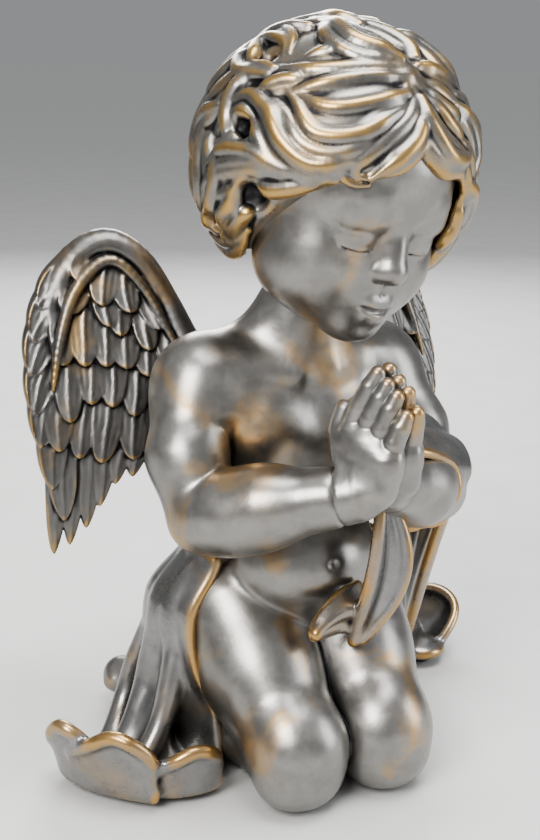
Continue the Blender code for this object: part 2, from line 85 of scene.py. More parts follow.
class Field:
    """A signed distance sampled on a grid: negative inside the resin."""

    def __init__(self, lo, hi, pitch):
        self.h = pitch * COARSE
        self.lo = arr(lo)
        self.n = np.ceil((arr(hi) - self.lo) / self.h).astype(int) + 1
        self.f = np.full(self.n, 12.0, f32)
        self.ax = [(self.lo[k] + self.h * np.arange(self.n[k])).astype(f32) for k in range(3)]

    def like(self):
        other = object.__new__(Field)
        other.h, other.lo, other.n, other.ax = self.h, self.lo, self.n, self.ax
        other.f = np.full(self.n, 12.0, f32)
        return other

    def patch(self, lo, hi):
        """A small empty field on this one's own grid, and where it lies in it."""
        got = self.window(arr(lo), arr(hi))
        if got is None:
            return None, None
        sl = got[0]
        other = object.__new__(Field)
        other.h, other.lo = self.h, self.lo + self.h * arr([q.start for q in sl])
        other.n = arr([q.stop - q.start for q in sl]).astype(int)
        other.ax = [self.ax[j][sl[j]] for j in range(3)]
        other.f = np.full(other.n, 12.0, f32)
        return other, sl

    def window(self, lo, hi):
        i0 = np.maximum(np.floor((lo - self.lo) / self.h).astype(int), 0)
        i1 = np.minimum(np.ceil((hi - self.lo) / self.h).astype(int) + 1, self.n)
        if (i1 <= i0).any():
            return None
        sl = tuple(slice(a, b) for a, b in zip(i0, i1))
        x = self.ax[0][sl[0]][:, None, None]
        y = self.ax[1][sl[1]][None, :, None]
        z = self.ax[2][sl[2]][None, None, :]
        return sl, x, y, z

    def put(self, sl, d, k, cut=False):
        f = self.f[sl]
        if cut:
            self.f[sl] = smooth_max(f, -d, k)
        else:
            self.f[sl] = smooth_min(f, d, k)

    def ball(self, c, r, k=4.0, turn=None, cut=False):
        """An ellipsoid with radii r, turned by a rotation matrix."""
        c, r = arr(c), arr(r) * np.ones(3)
        reach = r.max() + k + 2
        if turn is None:
            got = self.window(c - r - k - 2, c + r + k + 2)
        else:
            got = self.window(c - reach, c + reach)
        if got is None:
            return self
        sl, x, y, z = got
        x, y, z = x - f32(c[0]), y - f32(c[1]), z - f32(c[2])
        if turn is not None:
            t = turn.astype(f32)
            x, y, z = (t[0, j] * x + t[1, j] * y + t[2, j] * z for j in range(3))
        a, b, e = (f32(1 / v) for v in r)
        k0 = np.sqrt((x * a) ** 2 + (y * b) ** 2 + (z * e) ** 2)
        k1 = np.sqrt((x * a * a) ** 2 + (y * b * b) ** 2 + (z * e * e) ** 2) + f32(1e-6)
        self.put(sl, k0 * (k0 - 1) / k1, k, cut)
        return self

    def limb(self, a, b, ra, rb, k=4.0, cut=False, flat=None):
        """A tapering round limb. flat = (direction, share) squeezes its section."""
        a, b = arr(a), arr(b)
        m = max(ra, rb) + abs(float(np.max(k))) + 1.5
        got = self.window(np.minimum(a, b) - m, np.maximum(a, b) + m)
        if got is None:
            return self
        sl, x, y, z = got
        d = b - a
        dd = float(d @ d) + 1e-9
        x, y, z = x - f32(a[0]), y - f32(a[1]), z - f32(a[2])
        t = np.clip((x * f32(d[0]) + y * f32(d[1]) + z * f32(d[2])) * f32(1 / dd), 0, 1)
        qx, qy, qz = x - t * f32(d[0]), y - t * f32(d[1]), z - t * f32(d[2])
        if flat is not None:
            n, share = arr(flat[0]), flat[1]
            n = n / np.linalg.norm(n)
            q = (qx * f32(n[0]) + qy * f32(n[1]) + qz * f32(n[2])) * f32(1 / share - 1)
            qx, qy, qz = qx + q * f32(n[0]), qy + q * f32(n[1]), qz + q * f32(n[2])
        self.put(sl, np.sqrt(qx * qx + qy * qy + qz * qz) - (f32(ra) + f32(rb - ra) * t), k, cut)
        return self

    def chain(self, pts, radii, k=1.0, cut=False):
        for i in range(len(pts) - 1):
            self.limb(pts[i], pts[i + 1], radii[i], radii[i + 1], k, cut)
        return self

    def join(self, other, k):
        """Smooth union with another field on the same grid; k may vary over it."""
        self.f = smooth_min(self.f, other.f, k).astype(f32)
        return self


def spline(pts, n):
    """A Catmull-Rom curve through the points, sampled n times, evenly in length."""
    p = arr(pts)
    if len(p) == 2:
        t = np.linspace(0, 1, n)[:, None]
        return p[0] * (1 - t) + p[1] * t
    q = np.vstack([2 * p[0] - p[1], p, 2 * p[-1] - p[-2]])
    out = []
    for i in range(1, len(q) - 2):
        t = np.linspace(0, 1, 12, endpoint=False)[:, None]
        a, b, c, d = q[i - 1], q[i], q[i + 1], q[i + 2]
        out.append(0.5 * (2 * b + (c - a) * t + (2 * a - 5 * b + 4 * c - d) * t**2 + (3 * b - a - 3 * c + d) * t**3))
    out = np.vstack(out + [p[-1:]])
    s = np.concatenate([[0], np.cumsum(np.linalg.norm(np.diff(out, axis=0), axis=1))])
    want = np.linspace(0, s[-1], n)
    return np.stack([np.interp(want, s, out[:, j]) for j in range(out.shape[1])], 1)


def sampled(field, values, pts):
    """Trilinear samples of a grid array at points in millimetres."""
    g = (pts - field.lo) / field.h
    g = np.clip(g, 0, np.array(values.shape) - 1.001)
    i = g.astype(int)
    t = (g - i).astype(f32)
    out = 0
    for dx in (0, 1):
        for dy in (0, 1):
            for dz in (0, 1):
                w = (
                    (t[:, 0] if dx else 1 - t[:, 0])
                    * (t[:, 1] if dy else 1 - t[:, 1])
                    * (t[:, 2] if dz else 1 - t[:, 2])
                )
                out = out + w * values[i[:, 0] + dx, i[:, 1] + dy, i[:, 2] + dz]
    return out


def surface(field):
    """Surface nets: (points, quads) of the field's zero level."""
    f = field.f
    inside = f < 0
    count = np.zeros(tuple(n - 1 for n in f.shape), np.uint8)
    for dx in (0, 1):
        for dy in (0, 1):
            for dz in (0, 1):
                count += inside[
                    dx : dx + count.shape[0], dy : dy + count.shape[1], dz : dz + count.shape[2]
                ]
    active = (count > 0) & (count < 8)
    cells = np.argwhere(active)
    index = np.full(count.shape, -1, np.int32)
    index[active] = np.arange(len(cells), dtype=np.int32)
    total = np.zeros((len(cells), 3), f32)
    hits = np.zeros(len(cells), f32)
    corners = [(x, y, z) for x in (0, 1) for y in (0, 1) for z in (0, 1)]
    for a in corners:
        for b in corners:
            if b <= a or sum(abs(p - q) for p, q in zip(a, b)) != 1:
                continue
            fa = f[cells[:, 0] + a[0], cells[:, 1] + a[1], cells[:, 2] + a[2]]
            fb = f[cells[:, 0] + b[0], cells[:, 1] + b[1], cells[:, 2] + b[2]]
            m = (fa < 0) != (fb < 0)
            t = np.where(m, fa / np.where(m, fa - fb, 1), 0).astype(f32)
            for j in range(3):
                total[:, j] += np.where(m, a[j] + t * (b[j] - a[j]), 0)
            hits += m
    pts = field.lo + (cells + total / hits[:, None]) * field.h
    quads = []
    for axis in range(3):
        o1, o2 = [j for j in range(3) if j != axis]
        lo = [slice(None)] * 3
        hi = [slice(None)] * 3
        lo[axis], hi[axis] = slice(0, -1), slice(1, None)
        for o in (o1, o2):
            lo[o] = hi[o] = slice(1, -1)
        s0, s1 = inside[tuple(lo)], inside[tuple(hi)]
        at = np.argwhere(s0 != s1)
        out = s0[at[:, 0], at[:, 1], at[:, 2]]
        at[:, o1] += 1
        at[:, o2] += 1

        def cell(d1, d2):
            c = at.copy()
            c[:, o1] -= d1
            c[:, o2] -= d2
            return index[c[:, 0], c[:, 1], c[:, 2]]

        q = np.stack([cell(1, 1), cell(0, 1), cell(0, 0), cell(1, 0)], 1)
        turn = out if axis != 1 else ~out
        q = np.where(turn[:, None], q, q[:, ::-1])
        quads.append(q)
    quads = np.vstack(quads)
    return pts, quads[(quads >= 0).all(1)]


def blurred(a, n):
    """A box blur of the array by n cells each way, twice."""
    for _ in range(2):
        for axis in range(3):
            c = np.cumsum(a, axis=axis, dtype=np.float32)
            w = 2 * n + 1
            pad = [(0, 0)] * 3
            pad[axis] = (n + 1, n)
            c = np.pad(c, pad, mode="edge")
            first = [slice(None)] * 3
            first[axis] = slice(0, n + 1)
            c[tuple(first)] = 0
            hi = [slice(None)] * 3
            lo = [slice(None)] * 3
            hi[axis] = slice(w, None)
            lo[axis] = slice(0, -w)
            a = (c[tuple(hi)] - c[tuple(lo)]) / w
    return a


def filled(field):
    """How full of resin each grid cell is, from 0 to 1."""
    return np.clip(0.5 - field.f / field.h, 0, 1).astype(f32)


made = []          # (name, points, quads, attributes, material, slot, nodes)
everything = []    # the fields, for the shade in the gaps between castings


def refine(field, pts):
    """Moves the points onto the surface, and gives the normals there."""
    gx, gy, gz = np.gradient(field.f)
    for _ in range(2):
        g = np.stack([sampled(field, a, pts) for a in (gx, gy, gz)], 1) / field.h
        d = sampled(field, field.f, pts)
        n2 = np.maximum((g * g).sum(1), 0.2)
        pts = pts - np.clip((d / n2), -0.4 * field.h, 0.4 * field.h)[:, None] * g
    g = np.stack([sampled(field, a, pts) for a in (gx, gy, gz)], 1)
    return pts, g / np.maximum(np.linalg.norm(g, axis=1), 1e-6)[:, None]


def sculpt(name, field, fine, broad):
    """Meshes a field and measures its edges and hollows at two radii, in mm."""
    pts, quads = surface(field)
    pts, normals = refine(field, pts)
    full = filled(field)
    values = {}
    for key, radius in (("fine", fine), ("broad", broad)):
        n = max(1, int(round(radius / field.h)))
        values[key] = (sampled(field, blurred(full, n), pts) - 0.5).astype(f32)
    everything.append(field)
    return {"name": name, "pts": pts, "quads": quads, "normals": normals, "values": values}


# ============================================================ the pose, in mm
NECK_SPLIT = 134.0
HEAD = arr((4.5, -12.5, 174.0))
HEAD_ROT = rotation(17, 7, 12)             # bowed, leaning and turned to its left
PALMS = arr((0.5, -43.0, 106.0))
PALM_ROT = rotation(0, 0, 25)
SHOULDER = (29.5, 6.0, 118.5)
ELBOW = (36.0, -12.0, 84.5)
HIP = (17.5, 5.0, 49.0)
KNEE = (14.2, -27.5, 16.4)
ANKLE = (18.0, 36.0, 11.0)


def side(p, s):
    return (p[0] * s, p[1], p[2])


def head_point(x, y, z):
    return HEAD + HEAD_ROT @ arr((x, y, z))


def palm_point(x, y, z):
    return PALMS + PALM_ROT @ arr((x, y, z))


# ------------------------------------------------------------------- the body
body = Field((-52, -50, 0.4), (52, 67, 148), 0.72)
Y = body.ax[1][None, :, None]
Z = body.ax[2][None, None, :]
X = body.ax[0][:, None, None]

# trunk: a small child's, round in the belly, with soft ribs and shoulder blades
body.ball((0, 9, 49), (28.5, 23, 20), 6)
body.ball((0, -3, 65), (23.5, 20, 18), 8)
body.ball((0, 4, 80), (24, 17, 16), 8)
body.ball((0, 5, 99), (28, 18, 24), 8)
body.limb((-24, 6, 118.5), (24, 6, 118.5), 11, 11, 8)
for s in (-1, 1):
    body.limb((22 * s, 7, 120), (4 * s, 3, 133), 9, 10, 8)
    body.ball((12 * s, -6.4, 107), (13, 8.2, 10.5), 8)
    body.ball((14 * s, 18, 110), (11, 7, 14), 6)
    body.limb((20 * s, -3.0, 124.5), (5 * s, -9.0, 122.5), 2.2, 2.6, 7)   # collar bone
body.limb((1, 4, 118), (2, -1, 148), 14, 11.6, 7)
body.limb((0, 23.5, 62), (0, 24.5, 118), 2.2, 1.6, 5, cut=True)           # spine groove
body.ball((0, -23.8, 68.5), (1.1, 2.2, 0.8), 2.0, cut=True)               # navel
body.ball((0, -19.5, 112), (2.0, 2.6, 8), 6, cut=True)                    # breastbone

legs = body.like()
for s in (-1, 1):
    leg = body.like()
    leg.ball((13 * s, 25, 39), (16.5, 16.5, 17.5), 6)
    leg.limb(side(HIP, s), side(KNEE, s), 18.8, 14.3, 6)
    leg.ball((15.6 * s, -8, 34), (16.8, 17, 17), 7)
    leg.ball((14.4 * s, -30.5, 18.5), (13.2, 11.4, 14.2), 6)              # knee cap
    leg.ball((14.8 * s, -32, 8.5), (11.0, 8.0, 7.5), 6)
    leg.limb((16.5 * s, -25, 33.0), (23 * s, -15, 31), 1.2, 1.0, 4, cut=True)
    shin = body.like()
    shin.limb((15 * s, -22, 13.0), side(ANKLE, s), 11.4, 8.2, 5)
    shin.ball((18 * s, 8, 14.5), (12.2, 19, 12.0), 6)                     # calf
    shin.ball((19 * s, 38, 11), (8.2, 8.4, 8.6), 4)                       # heel
    toe = (-33, 57, 8) if s < 0 else (14, 59, 8)
    shin.limb((19 * s, 38, 10.5), toe, 8.2, 6.4, 5)
    across = rotation(0, 0, 0) @ (arr(toe) - arr((19 * s, 38, 10.5)))
    across = np.cross(across / np.linalg.norm(across), (0, 0, 1))
    for k in range(5):
        t = (k - 2) * (1 if s < 0 else -1)
        tip = arr(toe) + across * 2.6 * t + arr((0, 3.2 - 0.5 * abs(t), -1.4))
        shin.limb(arr(toe) + across * 2.4 * t, tip, 2.5 - 0.2 * k, 2.6 - 0.25 * k, 1.2)
    leg.join(shin, 1.3)
    legs.join(leg, 1.0)
legs.ball((0, 14, 15), (15, 20, 13), 4)
body.join(legs, (1.6 + 7 * step(-14, 14, Y) + 0 * X + 0 * Z).astype(f32))

# arms: joined softly at the shoulder and with a crease lower down
near = {}
trunk = body.f.copy()
for s, name in ((-1, "right"), (1, "left")):
    arm = body.like()
    mid, fore = (37.0 * s, -3, 100), (24 * s, -27, 90.5)
    arm.limb((22 * s, 6, 117), side(SHOULDER, s), 8.5, 11.5, 4)
    arm.ball((31 * s, 5, 113), (11.5, 12.2, 13), 6)
    arm.limb(side(SHOULDER, s), mid, 11.6, 10.7, 5)
    arm.limb(mid, side(ELBOW, s), 10.6, 10.2, 5)
    lower = body.like()
    lower.limb((35.2 * s, -12.5, 84.8), fore, 10.7, 10.7, 5)
    lower.ball((30 * s, -20, 87.5), (11.6, 12.6, 11.2), 6, rotation(0, 0, -35 * s))
    lower.limb(fore, palm_point(6.5 * s, 2, -9.5), 10.5, 7.6, 5)
    arm.join(lower, 1.5)
    near[name] = arm.f
    k = 0.9 + 7.5 * step(103, 114, Z) + 0 * X + 0 * Y
    body.f = smooth_min(body.f, arm.f, k.astype(f32))
near["trunk"] = trunk
wrist_r = palm_point(-6.5, 2, -9.5)
wrist_l = palm_point(6.5, 2, -9.5)

# ------------------------------------------------------------------ the hands
hands = Field((-24, -70, 82), (28, -24, 142), 0.42)
hand_of = {}
seams = []                                 # where one casting meets the next: (place, direction)
for s in (-1, 1):
    hand = hands.like()
    fore = arr((24 * s, -27, 90.5))
    wrist = palm_point(6.5 * s, 2, -9.5)
    hand.limb(fore, wrist, 10.5, 7.6, 5)
    hand.ball(palm_point(5.0 * s, 0.8, -1), (5.4, 9.8, 11.4), 4, PALM_ROT @ rotation(-22, 0, 0))
    hand.limb(palm_point(6.0 * s, 7, -6), palm_point(4.8 * s, 8.2, 2), 5.0, 3.8, 3)      # thumb ball
    hand.limb(palm_point(6.0 * s, -4, -7), palm_point(5.0 * s, -5, 0), 4.8, 4.0, 3)      # heel of the hand
    for k in range(4):
        base = arr((4.5 * s, 6.0 - 4.1 * k, 5.6 - 2.0 * k))
        end = arr((2.75 * s, -0.6 - 3.0 * k, 23.0 - 2.7 * k - (2.2 if k == 3 else 0)))
        knuckle = base * 0.55 + end * 0.45 + arr((0.75 * s, 0.45, 0.2))
        last = base * 0.22 + end * 0.78 + arr((0.3 * s, 0.2, 0.1))
        a, b, c, d = (palm_point(*p) for p in (base, knuckle, last, end))
        finger = hands.like()
        finger.limb(a, b, 3.2, 3.0, 0.3).limb(b, c, 3.0, 2.7, 0.3).limb(c, d, 2.7, 2.1, 0.3)
        # a soft ridge along the back of the finger
        n = PALM_ROT @ arr((0.95 * s, 0.3, 0))
        finger.limb(a * 0.7 + b * 0.3 + n * 1.5, c + n * 1.1, 1.8, 1.5, 1.0)
        blend = 3.0 * (1 - step(2.0, 6.0, hands.ax[2][None, None, :] - (PALMS[2] + base[2]) + 0 * hands.ax[0][:, None, None])) + 0.4
        hand.f = smooth_min(hand.f, finger.f, blend.astype(f32))
    thumb = hands.like()
    t0, t1, t2 = palm_point(5.8 * s, 8.8, -3), palm_point(4.6 * s, 10.2, 5), palm_point(3.1 * s, 9.2, 12)
    thumb.limb(t0, t1, 3.9, 3.3, 0.8).limb(t1, t2, 3.3, 2.6, 0.8)
    hand.join(thumb, 1.6)
    # the wrist's fold of baby fat
    n = (fore - wrist) / np.linalg.norm(fore - wrist)
    at = wrist * 0.80 + fore * 0.20
    e1 = np.cross(n, (0, 0, 1.0))
    e1 /= np.linalg.norm(e1)
    e2 = np.cross(n, e1)
    ring = [at + (e1 * math.cos(t) + e2 * math.sin(t)) * 8.7 for t in np.linspace(0, 2 * math.pi, 22)]
    for p, q in zip(ring, ring[1:]):
        hand.limb(p, q, 0.3, 0.3, 1.6, cut=True)
    # each hand ends at the plane where the palms meet
    hx = hands.ax[0][:, None, None] - PALMS[0]
    hy = hands.ax[1][None, :, None] - PALMS[1]
    off = (PALM_ROT[0, 0] * hx + PALM_ROT[1, 0] * hy).astype(f32) * s
    hand.f = smooth_max(hand.f, 0.12 - off + 0 * hand.f, 0.7).astype(f32)
    # and where the forearm casting takes over
    hxx = hands.ax[0][:, None, None] - f32(at[0])
    hyy = hands.ax[1][None, :, None] - f32(at[1])
    hzz = hands.ax[2][None, None, :] - f32(at[2])
    along = (hxx * n[0] + hyy * n[1] + hzz * n[2]).astype(f32)
    hand.f = smooth_max(hand.f, along - 0.9, 2.2).astype(f32)
    seams.append((at, n))
    hand_of[s] = hand
    bx, by, bz = X - f32(at[0]), Y - f32(at[1]), Z - f32(at[2])
    past = -(bx * n[0] + by * n[1] + bz * n[2]).astype(f32)          # beyond the wrist fold
    own = near["right" if s < 0 else "left"]
    cutoff = np.where(own < 2.5, past - 0.9, -9).astype(f32)
    body.f = smooth_max(body.f, np.where(Z > 84, cutoff, -9).astype(f32), 2.2).astype(f32)

# --------------------------------------------- the head: a calm child of our own
face = Field((-33, -52, 127), (43, 16, 206), 0.45)


def on_head(field, c, r, k=4.0, turn=(0, 0, 0), cut=False):
    return field.ball(head_point(*c), r, k, HEAD_ROT @ rotation(*turn), cut)


def along_head(field, pts, radii, k=2.0, cut=False):
    return field.chain([head_point(*p) for p in pts], radii, k, cut)


on_head(face, (0, 3, 5), (28, 30, 29), 6)
on_head(face, (0, -8, 11), (23.5, 20.5, 19), 8)
on_head(face, (0, -7, -9), (23.6, 18.5, 21), 8)
for s in (-1, 1):
    on_head(face, (12.2 * s, -13.6, -16.5), (12.4, 11.6, 12.2), 7)
    on_head(face, (15 * s, -6, -20), (9, 11, 10), 7)
on_head(face, (0, -14.5, -26), (14.5, 10.5, 9), 8)
on_head(face, (0, -20.0, -21.5), (9.5, 7.6, 8.6), 5)
for s in (-1, 1):
    on_head(face, (11.4 * s, -30.0, -4.6), (7.8, 4.8, 4.8), 6.5, (0, 0, 18 * s), cut=True)
    # eyeball, lowered upper lid, lower lid
    eye = arr((10.4 * s, -19.6, -5.2))
    on_head(face, eye, (6.9, 6.2, 5.9), 0.9)
    lid = []
    for t in np.linspace(-1, 1, 13):
        ang = t * math.radians(58)
        drop = -1.9 - 1.1 * (1 - t * t) + 0.5 * (1 - abs(t)) * 0
        d = arr((math.sin(ang + 0.22 * s), -math.cos(ang + 0.22 * s), 0))
        rr = math.sqrt(max(6.5**2 - drop**2, 1))
        lid.append(eye + d * arr((rr + 0.6, rr, rr)) + arr((0, 0, drop)))
    low_lid = []
    for t in np.linspace(-1, 1, 13):
        ang = t * math.radians(54)
        drop = -2.3 - 2.0 * (1 - t * t)
        d = arr((math.sin(ang + 0.22 * s), -math.cos(ang + 0.22 * s), 0))
        rr = math.sqrt(max(6.3**2 - drop**2, 1))
        low_lid.append(eye + d * arr((rr + 0.6, rr - 0.1, rr)) + arr((0, 0, drop)))
    # the upper lid is a thicker shell above its rim
    shell = face.like()
    on_head(shell, eye, (7.7, 6.9, 6.4), 0.5)
    hz = HEAD_ROT.T.astype(f32)
    gx = face.ax[0][:, None, None] - f32(HEAD[0])
    gy = face.ax[1][None, :, None] - f32(HEAD[1])
    gz = face.ax[2][None, None, :] - f32(HEAD[2])
    lx = (hz[0, 0] * gx + hz[0, 1] * gy + hz[0, 2] * gz) - f32(eye[0])
    lz = (hz[2, 0] * gx + hz[2, 1] * gy + hz[2, 2] * gz) - f32(eye[2])
    rim = -2.7 + 0.030 * lx * lx * 0.8
    shell.f = smooth_max(shell.f, (rim - lz).astype(f32), 0.5)
    face.join(shell, 0.8)
    along_head(face, lid, [0.35] + [0.62] * 11 + [0.35], 0.7)
    along_head(face, low_lid, [0.3] + [0.52] * 11 + [0.3], 1.0)
    along_head(face, [p + arr((0, -0.2, -0.75)) for p in lid[1:-1]], np.interp(np.linspace(-1, 1, 11), [-1, -0.6, 0.6, 1], [0.04, 0.3, 0.3, 0.04]), 0.5, cut=True)
    # the brow runs softly down into the lid
    over = []
    for t in np.linspace(-1, 1, 9):
        ang = t * math.radians(62)
        d = arr((math.sin(ang + 0.2 * s), -math.cos(ang + 0.2 * s), 0))
        over.append(eye + d * arr((6.6, 5.4, 6.0)) + arr((0, 0.2, 4.4 + 0.9 * (1 - t * t))))
    along_head(face, over, [0.6] + [1.5] * 7 + [0.6], 3.2)
    along_head(face, [(5.0 * s, -24.4, 2.4), (9.0 * s, -24.4, 4.8), (13.6 * s, -22.6, 4.8), (18.0 * s, -19.2, 2.6)], [0.6, 1.1, 1.0, 0.5], 6.5)
    # nose wing
    on_head(face, (3.0 * s, -27.0, -13.6), (2.0, 2.4, 1.8), 2.2)
along_head(face, [(0, -23.6, 1.0), (0, -24.8, -4.0), (0, -27.0, -8.6), (0, -28.6, -11.6)], [0.7, 1.0, 1.6, 2.2], 5.6)
on_head(face, (0, -29.2, -12.8), (3.0, 3.0, 2.7), 2.8)
for s in (-1, 1):
    on_head(face, (1.7 * s, -28.0, -15.7), (0.7, 1.1, 0.5), 0.9, (25, 0, 0), cut=True)
along_head(face, [(0, -28.5, -17.6), (0, -28.1, -19.6)], [0.1, 0.2], 1.8, cut=True)       # philtrum
# mouth: closed, with full lips
along_head(face, [(-6.2, -24.0, -23.3), (-2.8, -26.4, -22.4), (0, -26.8, -22.6), (2.8, -26.4, -22.4), (6.2, -24.0, -23.3)], [0.4, 1.2, 1.1, 1.2, 0.4], 2.6)
along_head(face, [(-4.8, -24.4, -24.5), (-2.0, -26.4, -25.5), (0, -26.8, -25.7), (2.0, -26.4, -25.5), (4.8, -24.4, -24.5)], [0.5, 1.7, 1.9, 1.7, 0.5], 1.9)
mouth = []
for x in np.linspace(-5.8, 5.8, 25):
    z = -24.2 + 0.016 * x * x
    reach = np.linspace(-33, -20, 131)
    inside = np.nonzero(sampled(face, face.f, np.array([head_point(x, y, z) for y in reach])) < 0)[0]
    mouth.append((x, reach[inside[0]] if len(inside) else -25.0, z))
along_head(face, mouth, np.interp(np.linspace(-1, 1, 25), [-1, -0.7, 0.7, 1], [0.15, 0.5, 0.5, 0.15]), 0.7, cut=True)
on_head(face, (0, -20.6, -31.0), (7.0, 5.4, 5.0), 6)
# neck
face.limb((1.6, 1.2, 126), head_point(0, 8, -14), 11.2, 12.6, 5)
face.f = np.maximum(face.f, (NECK_SPLIT - 1.0 - face.ax[2][None, None, :]).astype(f32))

# ------------------------------------------------------------------ the hair
hair = Field((-42, -56, 128), (53, 42, 226), 0.60)
HAIR_C = arr((5.5, -7.0, 179.0))
HAIR_R = arr((37.6, 38.4, 37.2))


def hair_point(lon, lat, lift=0.0):
    """A point on the shell of the hair, by angles about the head's own axes."""
    a, b = math.radians(lon), math.radians(lat)
    d = HEAD_ROT @ arr((math.sin(a) * math.cos(b), -math.cos(a) * math.cos(b), math.sin(b)))
    return HAIR_C + d / np.linalg.norm(d / HAIR_R) + d * lift


def arc(anchors, n):
    """A smooth path on the head through (lon, lat) anchors, as unit vectors in its own axes."""
    rows = []
    for lon, lat in anchors:
        a, b = math.radians(lon), math.radians(lat)
        rows.append((math.sin(a) * math.cos(b), -math.cos(a) * math.cos(b), math.sin(b)))
    line = spline(rows, n)
    return line / np.linalg.norm(line, axis=1)[:, None]


def lock(anchors, width, lanes=3, r=2.2, lift=0.6, tip=0.3, rise=0.6, soft=1.05):
    """A lock of hair: lanes soft ridges side by side, width mm across, drawn together at the tip."""
    n = max(8, int(18 * len(anchors) / 3))
    line = arc(anchors, n)
    t = np.linspace(0, 1, n)
    ahead = np.gradient(line, axis=0)
    ahead /= np.linalg.norm(ahead, axis=1)[:, None] + 1e-9
    across = np.cross(line, ahead)
    swell = (0.45 + 0.55 * step(0, 0.3, t)) * (tip + (1 - tip) * step(0, 0.5, 1 - t))
    strands = []
    for lane in range(lanes):
        off = 0.0 if lanes == 1 else (lane / (lanes - 1) - 0.5) * 2
        d = line + across * (off * width * 0.5 / 39 * swell)[:, None]
        d = (HEAD_ROT @ (d / np.linalg.norm(d, axis=1)[:, None]).T).T
        p = HAIR_C + d / np.linalg.norm(d / HAIR_R, axis=1)[:, None]
        rad = r * (0.6 + 0.4 * step(0, 0.2, t)) * (0.25 + 0.75 * step(0, 0.4, 1 - t)) * (1 - 0.15 * abs(off))
        height = lift + 1.2 * (1 - off * off) + rise * np.sin(np.pi * t) - 0.95 * r
        strands.append((p + d * np.asarray(height)[:, None], rad))
    every = np.vstack([q for q, _ in strands])
    body_, sl = hair.patch(every.min(0) - 6, every.max(0) + 6)
    if body_ is None:
        return
    for q, rad in strands:
        one, _ = hair.patch(every.min(0) - 6, every.max(0) + 6)
        one.chain(q, rad, 0.1)
        body_.f = smooth_min(body_.f, one.f, soft)
    hair.f[sl] = smooth_min(hair.f[sl], body_.f, 0.3)


def hair_cap():
    cap = hair.like()
    on_head(cap, (0.6, 6.2, 8.6), (35.2, 34.4, 31.8), 4)
    gx = hair.ax[0][:, None, None] - f32(HEAD[0])
    gy = hair.ax[1][None, :, None] - f32(HEAD[1])
    gz = hair.ax[2][None, None, :] - f32(HEAD[2])
    m = HEAD_ROT.T.astype(f32)
    ly = m[1, 0] * gx + m[1, 1] * gy + m[1, 2] * gz
    lz = m[2, 0] * gx + m[2, 1] * gy + m[2, 2] * gz
    line = 0.80 * ly + 0.60 * lz + 9.0
    cap.f = smooth_max(cap.f, (-line).astype(f32), 3.0)
    cap.f = np.maximum(cap.f, (-26.0 - lz + 0.25 * ly).astype(f32))
    # the bed of the locks, all over the skull behind the hairline
    bed = hair.like()
    bed.ball(HAIR_C, HAIR_R - 2.6, 1)
    bed.f = smooth_max(bed.f, (-line - 1.0).astype(f32), 3.0)
    bed.f = smooth_max(bed.f, (-24.0 - lz + 0.30 * ly).astype(f32), 2.0)
    cap.join(bed, 3.0)
    hair.join(cap, 1.0)


hair_cap()

